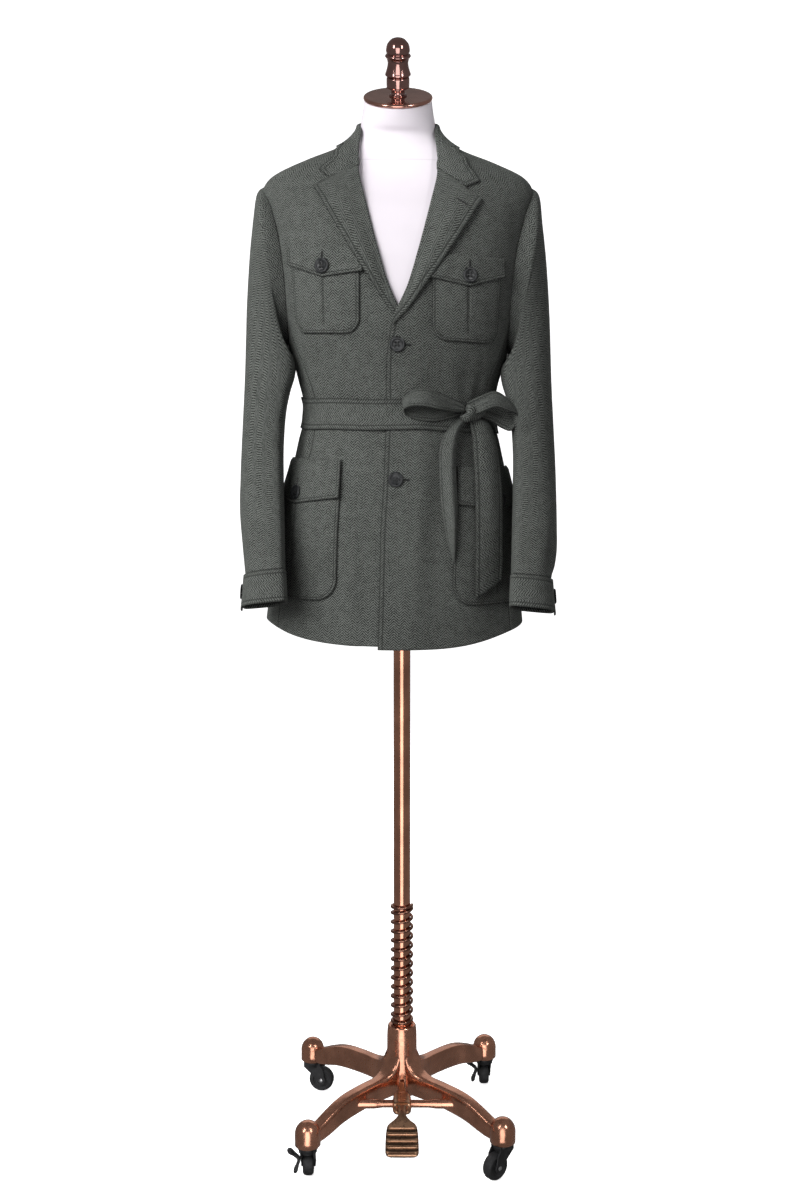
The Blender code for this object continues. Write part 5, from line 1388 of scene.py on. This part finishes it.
def make_belt():
    """Belt round the waist, and the ends that hang from its bow."""
    rows, columns = 30, 260
    turns = np.linspace(-math.pi, math.pi, columns + 1)
    share = np.linspace(-0.5, 0.5, rows)[:, None]
    sway = 0.0012 * np.sin(3 * turns + 0.8) + 0.0007 * np.sin(7 * turns)
    height = WAIST_HEIGHT + BELT_WIDTH * share + sway
    angle = np.broadcast_to(turns, height.shape)
    lap = front_lift(1, np.abs(angle), height)
    buckle = 0.0006 * np.sin(19 * angle + 9 * share) * ease((np.abs(np.sin(angle)) - 0.1) / 0.4)
    lift = ON_PANEL + lap + drape(angle, height) + buckle * (1 - 4 * share**2)
    points = skin(angle, height, lift)
    along = np.broadcast_to(run(points, 1)[rows // 2], height.shape)
    across = np.broadcast_to((share + 0.5) * BELT_WIDTH, height.shape)
    weave = np.stack([across, along], -1)
    stitch = np.stack([along, np.minimum(across, BELT_WIDTH - across)], -1)
    sew("belt", points[:, :-1], weave, stitch, around=True)
    ends = (("belt_tail_right", RIGHT_TAIL, 110, 0.62), ("belt_tail_left", LEFT_TAIL, 120, 0.58))
    for name, rows_table, steps, crease in ends:
        points = tail(rows_table, steps, BELT_COLUMNS, crease)
        weave, stitch = belt_maps(points)
        sew(name, points, weave, stitch, offset=0.0)


def make_bow():
    """Two loops of the belt's ribbon and the knot's band, with pleats drawn in to the knot."""
    for name, rows_table, steps in (("bow_loop_right", RIGHT_LOOP, 130), ("bow_loop_left", LEFT_LOOP, 110)):
        points = ribbon(rows_table, steps, BELT_COLUMNS)
        weave, stitch = belt_maps(points)
        part = np.linspace(0, 1, steps)[:, None]
        root = np.exp(-((part / 0.16) ** 2)) + np.exp(-(((1 - part) / 0.16) ** 2))
        share = np.linspace(0, 1, BELT_COLUMNS)
        points = points + outward(points) * (0.0014 * root * np.sin(5 * math.pi * share))[..., None]
        sew(name, points, weave, stitch, offset=0.0)
    rows, columns = 40, 56
    x, height = KNOT_PLACE
    half_length, half_depth, half_height = KNOT_SIZE
    centre = front_at(x, height, ON_PANEL + half_depth - drape(math.radians(43), height))
    along = np.linspace(-1, 1, rows)[:, None]
    turns = circle(columns)
    barrel = 1 - 0.72 * np.abs(along) ** 5
    pleat = 1 + 0.04 * np.sin(7 * along + 1.2 * np.sin(turns)) * (1 - along**2)
    across = half_length * along + 0.0060 * np.sin(turns)
    forth = half_depth * barrel * pleat * np.cos(turns)
    up = half_height * barrel * pleat * np.sin(turns) + 0.0045 * along
    points = placed(np.stack([across, forth, up], -1), centre, KNOT_TURN)
    wide = np.concatenate([turns, [2 * math.pi]]) * 0.0105
    weave = np.stack(np.broadcast_arrays(wide, (along + 1) * 0.022), -1)
    sew("belt_knot", points, weave, around=True)


def button_place(angle, height, lift):
    """Back and outward direction of a button on the cloth."""
    base = skin(np.array([angle]), np.array([height]), np.array([lift + LAY / 2]))[0]
    tip = skin(np.array([angle]), np.array([height]), np.array([lift + 0.01]))[0]
    return base, unit(tip - base)


def button_grid():
    """Four-hole button: a turned face with a rim and a dished middle, sunk by a bell at each hole."""
    turns = circle(48)
    face = [(share, BUTTON_DISH) for share in (0.0, 0.08, 0.14, 0.20, 0.26, 0.32)]
    face += [(0.38, 0.63), (0.46, 0.64), (0.58, 0.66)]
    rim = [(0.64, 0.74), (0.70, 0.92), (0.78, 1.0), (0.87, 0.97), (0.95, 0.82), (1.0, 0.55), (0.97, 0.25)]
    profile = np.array(face + rim + [(0.85, 0.05), (0.5, 0.0), (0.0, 0.0)])
    radius, height = profile[:, 0, None] * BUTTON_RADIUS, profile[:, 1, None] * BUTTON_HEIGHT
    x, y = radius * np.cos(turns), radius * np.sin(turns)
    holes = 0.0
    for a, b in ((1, 1), (1, -1), (-1, 1), (-1, -1)):
        aside = (x - a * HOLE_REACH) ** 2 + (y - b * HOLE_REACH) ** 2
        holes = holes + np.exp(-(aside / 0.0011**2))
    top = np.arange(len(profile))[:, None] < len(face)
    return np.stack([x, y, height - 0.0012 * np.minimum(holes, 1.0) * top], -1)


def make_buttons():
    """Front, pocket and cuff buttons, each sewn on with crossed thread."""
    spots = []
    for number, (turn, height) in enumerate(FRONT_BUTTONS):
        turn = math.radians(turn)
        spots.append((f"front_button_{number + 1}", *button_place(turn, height, LAP + drape(turn, height))))
    for side, name in SIDES:
        for kind, sizes in FLAPS.items():
            height = sizes["point"] + FLAP_BUTTON - POCKET_DROP[kind][side]
            angle = float(angle_at(np.array([side * POCKET_MIDDLE[kind][side]]), np.array([height]))[0])
            low_part = 1 - FLAP_BUTTON / (sizes["top"] - sizes["point"])
            lift = ON_POCKET + POCKET_SPRING[kind] * low_part + float(drape(angle, height))
            spots.append((f"{kind}_button_{name}", *button_place(angle, height, lift)))
        turn = ARM_FRONT / 8 + np.array((-0.05, 0.0, 0.05))
        rings = [cuff_ring(side, turn, part) for part in (0.0, 0.5, 1.0)]
        out = unit(np.cross(rings[1][2] - rings[1][0], rings[2][1] - rings[0][1]) * side)
        spots.append((f"cuff_button_{name}", rings[1][1] + out * 0.0014, out))
    disc = button_grid()
    for name, base, out in spots:
        side = unit(np.cross((0.0, 0.0, 1.0), out))
        frame_of = np.stack([side, np.cross(out, side), out])
        seat = base + FORM_SHIFT
        face = [(disc @ frame_of + seat, True)]
        plain("horn_" + name, face, horn("dark_horn"), "form", [name], 50.0)
        threads = []
        for a, b in (((-1, -1), (1, 1)), ((-1, 1), (1, -1))):
            part = np.linspace(-1, 1, 9)[:, None]
            path = np.array(a) * (1 - part) / 2 + np.array(b) * (1 + part) / 2
            rise = BUTTON_HEIGHT * BUTTON_DISH + 0.0005 - 0.0012 * part**6
            path = np.column_stack([path * HOLE_REACH, rise])
            threads.append((capped(tube(path, 0.00045, 8)) @ frame_of + seat, True))
        plain(name + "_thread", threads, silk("buttonhole_thread"), "form", [])


def welt(path, out, half_width=0.0017):
    """Buttonhole: two thread lips along a path with a slit between them, its edges sunk in the cloth."""
    aside = np.cross(out, unit(np.gradient(path, axis=0)))
    across = np.linspace(-1, 1, 13)[None, :]
    part = np.linspace(0, 1, len(path))[:, None]
    fade = np.sqrt(np.clip(1 - (2 * part - 1) ** 8, 0, 1))
    lips = 0.0014 * (1 - across**2) * np.minimum(1, np.abs(across) / 0.3 + 0.05)
    height = lips * fade - 0.0005
    eye = 1 + 0.45 * np.exp(-(((part - 0.9) / 0.08) ** 2))
    wide = half_width * across * fade * eye
    return path[:, None] + aside[:, None] * wide[..., None] + out[:, None] * height[..., None]


def make_buttonholes():
    """Worked buttonholes: one beside each front and pocket button, and one in the left lapel."""
    count = 28
    part = np.linspace(0, 1, count)
    holes = []

    def on_cloth(arc, height, lift):
        """Adds a buttonhole along a line on the cloth."""
        angle = angle_at(arc, height)
        lift = lift + drape(angle, height)
        base, tip = skin(angle, height, lift), skin(angle, height, lift + 0.01)
        holes.append((welt(base, (tip - base) / 0.01) + FORM_SHIFT, False))

    for turn, height in FRONT_BUTTONS:
        on_cloth(0.001 + 0.0024 * turn + 0.0205 * part, height - 0.0008 * part, LAP * np.ones(count) + 0.0002)
    for side, _ in SIDES:
        for kind, sizes in FLAPS.items():
            height = sizes["point"] + 0.0175 - POCKET_DROP[kind][side] + 0.0215 * part
            down = np.clip((sizes["top"] - height) / (sizes["top"] - sizes["point"]), 0, 1)
            lift = ON_POCKET + POCKET_SPRING[kind] * down + 0.0002
            on_cloth(side * POCKET_MIDDLE[kind][side] + 0 * part, height, lift)
    arc, height = 0.0866 + 0.0179 * part, 1.5285 - 0.0100 * part
    on_cloth(arc, height, LAY + CLOTH + 0.0058 + 0 * part)
    plain("buttonholes", holes, silk("buttonhole_thread"), "form", [], 60.0)


def make_form():
    """Smooth torso: body rings set in under the cloth, drawn to the tilted rim of the neck; cap and
    finial."""
    columns = 112
    turns = np.linspace(-math.pi, math.pi, columns + 1)[:-1]
    heights = np.concatenate([np.linspace(TORSO_BOTTOM + 0.004, 1.56, 60), np.linspace(1.57, 1.63, 9)])
    rows = ring(turns[None, :], heights[:, None], through(FORM_INSETS, heights))
    foot = rows[0].copy()
    foot[:, :2] *= 0.95
    foot[:, 2] = TORSO_BOTTOM
    out = np.array([0.0, -math.sin(CAP_TILT), math.cos(CAP_TILT)])
    back = np.array([0.0, math.cos(CAP_TILT), math.sin(CAP_TILT)])
    middle = CAP_CENTRE - out * (CAP_THICKNESS / 2 + 0.0004)
    reach = np.sin(turns)[:, None] * np.array([1.0, 0, 0]) - np.cos(turns)[:, None] * back
    rim = middle + (CAP_RADIUS - 0.0015) * reach
    below = rim - out * 0.012
    blend = rows[-1] * 0.35 + below * 0.65
    keys = np.concatenate([rows[-8:], blend[None], rim[None]])
    place = np.concatenate([np.arange(8.0), [10.6, 13.4]])
    table = np.column_stack([place, keys.reshape(len(keys), -1)])
    neck = through(table, np.linspace(7.0, 13.4, 24)).reshape(24, columns, 3)
    grid = np.concatenate([np.broadcast_to(foot.mean(0), foot.shape)[None], foot[None], rows, neck[1:]])
    grid = np.concatenate([grid, np.broadcast_to(middle, rim.shape)[None]])
    plain("torso_cover", [(grid + FORM_SHIFT, True)], jersey("white_jersey"), "form", ["torso"], 50.0)
    half, r = CAP_THICKNESS / 2, CAP_RADIUS
    edge = np.radians(np.linspace(90, -90, 9))
    bead = [(r - half + half * math.cos(a), half * math.sin(a)) for a in edge]
    top = [(0.0, half), (r * 0.5, half), (r - half - 0.002, half)]
    disc = spin(top + bead + [(r * 0.6, -half), (0.0, -half)], 72)
    disc = placed(disc, CAP_CENTRE + FORM_SHIFT, 0, CAP_TILT)
    brushed = metal("copper_disc", (0.63, 0.33, 0.26), 0.16)
    plain("neck_disc", [(disc, True)], brushed, "form", ["neck_cap"])
    profile = along_rows(FINIAL_PROFILE, 120)
    profile[:, 0] = np.maximum(profile[:, 0], 0.0)
    foot_point = CAP_CENTRE + out * (half + 0.0002) + FORM_SHIFT
    turned = placed(spin(np.concatenate([[(0.0, 0.0)], profile]), 56), foot_point, 0, CAP_TILT)
    dark = metal("copper_turned", (0.40, 0.225, 0.20), 0.11)
    plain("turned_finial", [(turned, True)], dark, "form", ["finial"], 55.0)


def make_mast():
    """Pole with a flange under the torso, and the coil spring round its foot, close wound for a turn at
    each end."""
    top = TORSO_BOTTOM - 0.0004
    profile = [(0.0, top), (0.045, top), (0.045, top - 0.006), (0.020, top - 0.010), (0.018, top - 0.030)]
    shaft = [top - 0.032, *np.linspace(top - 0.034, POLE_FOOT, 30)]
    profile += [(POLE_RADIUS, height) for height in shaft] + [(0.0, POLE_FOOT)]
    plain("mast_pole", [(spin(profile, 64), True)], copper(), "mast", ["pole"])
    low, high = HUB_TOP + 0.0008 + WIRE_RADIUS, SPRING_TOP - WIRE_RADIUS
    count = np.linspace(0, COILS, COILS * 36 + 1)
    turn = 2 * math.pi * count
    close = 2.2 * WIRE_RADIUS
    rise = np.interp(count, (0.0, 1.0, COILS - 1.0, COILS), (low, low + close, high - close, high))
    path = np.stack([SPRING_RADIUS * np.cos(turn), SPRING_RADIUS * np.sin(turn), rise], -1)
    look = metal("dark_spring_wire", (0.30, 0.150, 0.105), 0.20)
    coil = plain("coil_spring", [(capped(tube(path, WIRE_RADIUS, 12)), True)], look, None, ["spring"])
    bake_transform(coil)


def knob_place(leg_angle):
    """Heading of a leg, and the place on the floor under its knob."""
    heading = math.radians(leg_angle) + BASE_TURN
    return heading, np.array((CASTOR_RADIUS * math.cos(heading), CASTOR_RADIUS * math.sin(heading), 0.0))


def make_base():
    """Hub, arched legs of rounded section that end in domed knobs, cross bar and pedal."""
    bore, top, foot = POLE_RADIUS + 0.0004, HUB_TOP, HUB_FOOT
    profile = [(bore, top - 0.004), (bore + 0.001, top - 0.0005), (0.0185, top), (0.0222, top - 0.0004)]
    profile += [(0.0238, top - 0.0025), (0.0238, top - 0.006), (0.0244, top - 0.0075)]
    profile += [(HUB_RADIUS, top - 0.020), (HUB_RADIUS, 0.150), (0.0252, 0.140), (0.0262, 0.130)]
    profile += [(0.0285, 0.1215), (0.0302, 0.114), (0.0302, foot + 0.003)]
    profile += [(0.0285, foot), (bore, foot), (bore, top - 0.004)]
    plain("base_hub", [(spin(profile, 64), True)], copper(True), "base", ["hub"], 40.0)
    path = along_rows(LEG_PATH, 60)
    middle, half = (path[:, 1] + path[:, 2]) / 2, (path[:, 1] - path[:, 2]) / 2
    outline = squircle(36, 5.0)
    widen = 1 + 0.55 * (1 - ease((path[:, 0] - 0.024) / 0.045))
    across = LEG_WIDTH / 2 * widen[:, None] * outline[:, 0]
    up = middle[:, None] + half[:, None] * outline[:, 1]
    section = np.stack([np.broadcast_to(path[:, 0, None], up.shape), across, up], -1)
    shoulder = KNOB_FOOT + 0.019
    dome = np.linspace(0, math.pi / 2, 14)
    knob = [(0.0, KNOB_FOOT), (KNOB_RADIUS - 0.0012, KNOB_FOOT), (KNOB_RADIUS, KNOB_FOOT + 0.0012)]
    knob += [(KNOB_RADIUS, KNOB_FOOT + 0.010)]
    knob += [(KNOB_RADIUS * math.cos(a), shoulder + (KNOB_TOP - shoulder) * math.sin(a)) for a in dome]
    knob[-1] = (0.0, KNOB_TOP)
    for name, leg_angle, _, _ in CASTORS:
        heading, spot = knob_place(leg_angle)
        grids = [(placed(capped(section), (0, 0, 0), heading), True), (placed(spin(knob, 48), spot), True)]
        plain("arched_leg_" + name, grids, copper(True), "base", ["leg_" + name], 45.0)
    out, height = PEDAL_AXIS
    x = np.linspace(*BAR_ENDS, 48)
    thick = 0.0062 + 0.0016 * ease((np.abs(x - BAR_MIDDLE) - 0.036) / 0.016)
    bar = capped(tube(np.stack([x, np.full(48, out), np.full(48, height)], -1), thick, 28))
    plain("pedal_bar", [(bar, True)], copper(True), "base", ["cross_bar"], 45.0)
    bronze = metal("bronze_pedal", (0.46, 0.265, 0.165), 0.30, 0.18, 0.0010, PEDAL_GROOVES)
    across, along, up = lever(PEDAL_PATH, 70, 28)
    grids = [(capped(np.stack([across, -along, up], -1)), True)]
    first, last = np.array(PEDAL_PATH)[[7, 9], :2]
    for share, width, radius in TREADS:
        spot = first + (last - first) * share + np.array((0.64, 0.77)) * 0.0052
        line = np.stack([np.linspace(-width, width, 9), np.full(9, -spot[0]), np.full(9, spot[1])], -1)
        grids.append((capped(tube(line, radius, 12)), True))
    plain("foot_pedal", grids, bronze, "pedal", ["pedal"], 45.0)


def cheek_outline():
    """Side outline of a castor's fork: crown, rake back to the axle, round foot."""
    axle, crown, half_crown = WHEEL_RADIUS, KNOB_FOOT - 0.0008, 0.0145
    swing = np.radians(np.linspace(200, 400, 12))
    foot = np.stack([TRAIL + 0.0085 * np.cos(swing), axle + 0.0085 * np.sin(swing)], -1)
    first = [(-half_crown, crown), (-half_crown, crown - 0.010), (TRAIL - 0.011, axle + 0.006)]
    last = [(half_crown + 0.006, crown - 0.014), (half_crown, crown - 0.006), (half_crown, crown)]
    return np.concatenate([first, foot, last])


def plate(outline, y_from, y_to, rim=0.0007):
    """Plate with rounded rims: an outline carried across, a little smaller at both faces."""
    middle = outline.mean(0)
    reach = np.linalg.norm(outline - middle, axis=1, keepdims=True)
    rings = []
    for y, shrink in ((y_from, rim), (y_from + rim, 0.0), (y_to - rim, 0.0), (y_to, rim)):
        ring_of = middle + (outline - middle) * (1 - shrink / reach)
        rings.append(np.stack([ring_of[:, 0], np.full(len(ring_of), y), ring_of[:, 1]], -1))
    return capped(np.array(rings))


def make_castors():
    """Each castor: a fork that swivels under the knob, its wheel, and a rocker brake on two of them."""
    black = moulded("castor_nylon", bpy.context.scene.stand.castor, 0.42)
    rubber = moulded("tyre_rubber", (0.020, 0.020, 0.021), 0.55, 0.0002)
    steel = metal("axle_steel", (0.55, 0.55, 0.56), 0.28)
    outline = cheek_outline()
    crown, half, r = KNOB_FOOT - 0.0008, WHEEL_WIDTH / 2, WHEEL_RADIUS
    inside, outside = half + 0.0008, 0.0115
    cap = [(0.0, crown), (0.0150, crown), (0.0160, crown - 0.0015), (0.0160, crown - 0.0045)]
    cap += [(0.0148, crown - 0.0062), (0.0145, crown - 0.0098), (0.0, crown - 0.0098)]
    fork = [plate(outline, inside, outside), plate(outline, -outside, -inside), spin(cap, 40)]
    rim = [(0.0, half - 0.0012), (0.006, half - 0.0012), (0.0068, half - 0.0018), (0.0135, half - 0.0018)]
    rim += [(0.0145, half - 0.0004), (0.0180, half), (r - 0.0012, half - 0.0016), (r, half - 0.0045), (r, 0.0)]
    tread = rim + [(radius, -height) for radius, height in rim[-2::-1]]
    wheel = placed(spin(tread, 56), (0, 0, 0), 0, math.pi / 2)
    bead = [(0.0, outside + 0.0012), (0.0022, outside + 0.0010), (0.0036, outside + 0.0002)]
    bead += [(0.0036, outside - 0.0015)]
    studs = [placed(spin(bead, 24), (0, 0, 0), 0, -end * math.pi / 2) for end in (1, -1)]
    across, along, up = lever(ROCKER_PATH, 40, 20)
    rocker = capped(np.stack([along, across, up], -1))
    for name, leg_angle, trail_angle, brake in CASTORS:
        _, centre = knob_place(leg_angle)
        turn = math.radians(trail_angle)
        axle = centre + np.array((TRAIL * math.cos(turn), TRAIL * math.sin(turn), WHEEL_RADIUS))
        moved = [(placed(grid, centre, turn), True) for grid in fork]
        plain("castor_fork_" + name, moved, black, "castor_" + name, ["fork_" + name], 40.0)
        moved = [(placed(wheel, axle, turn), True)]
        plain("castor_wheel_" + name, moved, rubber, "wheel_" + name, ["wheel_" + name], 30.0)
        moved = [(placed(stud, axle, turn), True) for stud in studs]
        plain("castor_axle_" + name, moved, steel, "castor_" + name, [], 50.0)
        if brake:
            pivot = (centre + axle * np.array((1, 1, 0))) / 2
            moved = [(placed(rocker, (*pivot[:2], 0.0), turn + math.pi / 2), True)]
            plain("rocker_brake_" + name, moved, black, "brake_" + name, ["brake_" + name], 45.0)


def lamp(name, kind, place, target, power):
    """Light of a kind at a place, turned to face a target."""
    item = bpy.data.objects.new(name, bpy.data.lights.new(name, kind))
    item.data.energy = power
    item.location = place
    item.rotation_euler = (Vector(target) - Vector(place)).to_track_quat("-Z", "Y").to_euler()
    bpy.context.scene.collection.objects.link(item)
    return item


def make_stage():
    """Pale floor that sweeps up behind, soft lights, pale surroundings and the camera."""
    scene = bpy.context.scene
    look = scene.stage
    x = np.linspace(-FLOOR_REACH, FLOOR_REACH, 7)
    bend = np.radians(np.linspace(0, 90, 13))
    back, up = SWEEP_START + SWEEP_RADIUS * np.sin(bend), SWEEP_RADIUS - SWEEP_RADIUS * np.cos(bend)
    y = np.concatenate([[-FLOOR_REACH], back, [SWEEP_START + SWEEP_RADIUS]])
    z = np.concatenate([[0.0], up, [FLOOR_REACH]]) - 0.0004
    grid = np.stack(np.broadcast_arrays(x[None, :], y[:, None], z[:, None]), -1)
    mesh = bpy.data.meshes.new("studio_sweep")
    mesh.from_pydata(grid.reshape(-1, 3).tolist(), [], quads(*grid.shape[:2]).tolist())
    mesh.shade_smooth()
    floor = bpy.data.objects.new("studio_sweep", mesh)
    scene.collection.objects.link(floor)
    paper = Recipe("white_paper")
    seen = paper.node("ShaderNodeLightPath").outputs["Is Camera Ray"]
    tone = paper.between(paper.noise(paper.place(), 2.0), 0.3, 0.7, 0.92, 0.94)
    white = paper.node("ShaderNodeCombineColor", {0: tone, 1: tone, 2: tone}).outputs[0]
    paper.set(
        Base_Color=paper.blend(seen, (0.34, 0.34, 0.34, 1.0), white), Roughness=0.9,
        Emission_Color=(1.0, 1.0, 1.0, 1.0), Emission_Strength=paper.times(seen, 0.75),
    )
    mesh.materials.append(paper.material)
    floor.visible_glossy = False
    for name, setting, share, place, target, size, card in LIGHTS:
        light = lamp(name, "AREA", place, target, getattr(look, setting) * share)
        light.data.shape = "RECTANGLE"
        light.data.size, light.data.size_y = size
        light.visible_camera = False
        light.visible_glossy = card
        light.visible_diffuse = not card
    neck = lamp("neck_light", "SPOT", (1.0, -1.5, 1.42), (0.0, 0.0, 1.675), look.neck)
    neck.data.spot_size, neck.data.spot_blend, neck.data.shadow_soft_size = math.radians(6.6), 1.0, 0.15
    neck.visible_glossy = False
    world = bpy.data.worlds.new("studio")
    world.use_nodes = True
    tree = world.node_tree
    path = tree.nodes.new("ShaderNodeLightPath")
    strength = tree.nodes.new("ShaderNodeMath")
    strength.operation = "MULTIPLY"
    rays = (("Is Camera Ray", look.ambient, 1.0), ("Is Glossy Ray", 1.0, 1.05))
    for socket, (ray, low, high) in zip(strength.inputs, rays):
        level = tree.nodes.new("ShaderNodeMapRange")
        level.inputs[3].default_value, level.inputs[4].default_value = low, high
        tree.links.new(path.outputs[ray], level.inputs[0])
        tree.links.new(level.outputs[0], socket)
    background = tree.nodes["Background"]
    tree.links.new(strength.outputs[0], background.inputs["Strength"])
    background.inputs["Color"].default_value = (1.0, 1.0, 1.0, 1.0)
    scene.world = world
    scene.view_settings.view_transform = "Standard"
    lens = bpy.data.cameras.new("camera")
    lens.lens = look.lens
    lens.sensor_width = 36.0
    camera = bpy.data.objects.new("camera", lens)
    camera.location = look.eye
    camera.rotation_euler = (math.pi / 2 - look.pitch, 0.0, 0.0)
    scene.collection.objects.link(camera)
    scene.camera = camera


class JACKET_OT_body(bpy.types.Operator):
    """Fronts, side panels and back"""

    bl_idname = "jacket.body"
    bl_label = "Body"

    def execute(self, context):
        make_fronts()
        make_sides()
        make_back()
        return {"FINISHED"}


class JACKET_OT_sleeves(bpy.types.Operator):
    """Sleeves and cuffs"""

    bl_idname = "jacket.sleeves"
    bl_label = "Sleeves"

    def execute(self, context):
        make_sleeves()
        make_cuffs()
        return {"FINISHED"}


class JACKET_OT_collar(bpy.types.Operator):
    """Lapels, collar and its stand"""

    bl_idname = "jacket.collar"
    bl_label = "Collar and lapels"

    def execute(self, context):
        make_lapels()
        make_collar()
        return {"FINISHED"}


class JACKET_OT_pockets(bpy.types.Operator):
    """Patch pockets and their flaps"""

    bl_idname = "jacket.pockets"
    bl_label = "Pockets"

    def execute(self, context):
        make_pockets()
        return {"FINISHED"}


class JACKET_OT_belt(bpy.types.Operator):
    """Belt, bow and hanging ends"""

    bl_idname = "jacket.belt"
    bl_label = "Belt"

    def execute(self, context):
        make_belt()
        make_bow()
        return {"FINISHED"}


class JACKET_OT_buttons(bpy.types.Operator):
    """Buttons and worked buttonholes"""

    bl_idname = "jacket.buttons"
    bl_label = "Buttons"

    def execute(self, context):
        make_buttons()
        make_buttonholes()
        return {"FINISHED"}


class JACKET_OT_form(bpy.types.Operator):
    """Torso, neck cap and finial"""

    bl_idname = "jacket.form"
    bl_label = "Form"

    def execute(self, context):
        make_form()
        return {"FINISHED"}


class JACKET_OT_stand(bpy.types.Operator):
    """Pole, spring, hub, legs and pedal"""

    bl_idname = "jacket.stand"
    bl_label = "Stand"

    def execute(self, context):
        make_mast()
        make_base()
        return {"FINISHED"}


class JACKET_OT_castors(bpy.types.Operator):
    """Forks, wheels and brakes"""

    bl_idname = "jacket.castors"
    bl_label = "Castors"

    def execute(self, context):
        make_castors()
        return {"FINISHED"}


class JACKET_OT_stage(bpy.types.Operator):
    """Floor, lights and camera"""

    bl_idname = "jacket.stage"
    bl_label = "Stage"

    def execute(self, context):
        make_stage()
        return {"FINISHED"}


MAKERS = (
    JACKET_OT_body, JACKET_OT_sleeves, JACKET_OT_collar, JACKET_OT_pockets, JACKET_OT_belt, JACKET_OT_buttons,
    JACKET_OT_form, JACKET_OT_stand, JACKET_OT_castors, JACKET_OT_stage,
)


class JACKET_PT_panel(bpy.types.Panel):
    """Settings and makers of the jacket in the sidebar"""

    bl_idname = "JACKET_PT_panel"
    bl_label = "Jacket"
    bl_space_type = "VIEW_3D"
    bl_region_type = "UI"
    bl_category = "Jacket"

    def draw(self, context):
        for settings in (context.scene.jacket, context.scene.stand, context.scene.stage):
            box = self.layout.box()
            for name in settings.__annotations__:
                box.prop(settings, name)
        for maker in MAKERS:
            self.layout.operator(maker.bl_idname)


CLASSES = (JacketSettings, StandSettings, StageSettings, *MAKERS, JACKET_PT_panel)


def register():
    for item in CLASSES:
        bpy.utils.register_class(item)
    bpy.types.Scene.jacket = PointerProperty(type=JacketSettings)
    bpy.types.Scene.stand = PointerProperty(type=StandSettings)
    bpy.types.Scene.stage = PointerProperty(type=StageSettings)


def unregister():
    del bpy.types.Scene.stage
    del bpy.types.Scene.stand
    del bpy.types.Scene.jacket
    for item in reversed(CLASSES):
        bpy.utils.unregister_class(item)


def visual_box():
    """Low and high corners round the pieces that stand on the floor, with their modifiers."""
    graph = bpy.context.evaluated_depsgraph_get()
    low, high = np.full(3, np.inf), np.full(3, -np.inf)
    for item in bpy.context.scene.objects:
        if item.type != "MESH" or item.name == "studio_sweep" or item.hide_render:
            continue
        mesh = item.evaluated_get(graph).data
        points = np.empty(len(mesh.vertices) * 3, np.float32)
        mesh.vertices.foreach_get("co", points)
        stand = np.array(item.matrix_world)
        points = points.reshape(-1, 3) @ stand[:3, :3].T + stand[:3, 3]
        low, high = np.minimum(low, points.min(0)), np.maximum(high, points.max(0))
    return [low.tolist(), high.tolist()]


def main():
    register()
    for maker in MAKERS:
        family, name = maker.bl_idname.split(".")
        getattr(getattr(bpy.ops, family), name)()
    {"cad": [list(corner) for corner in CAD_BOX], "visual": visual_box()}


if __name__ == "__main__":
    main()
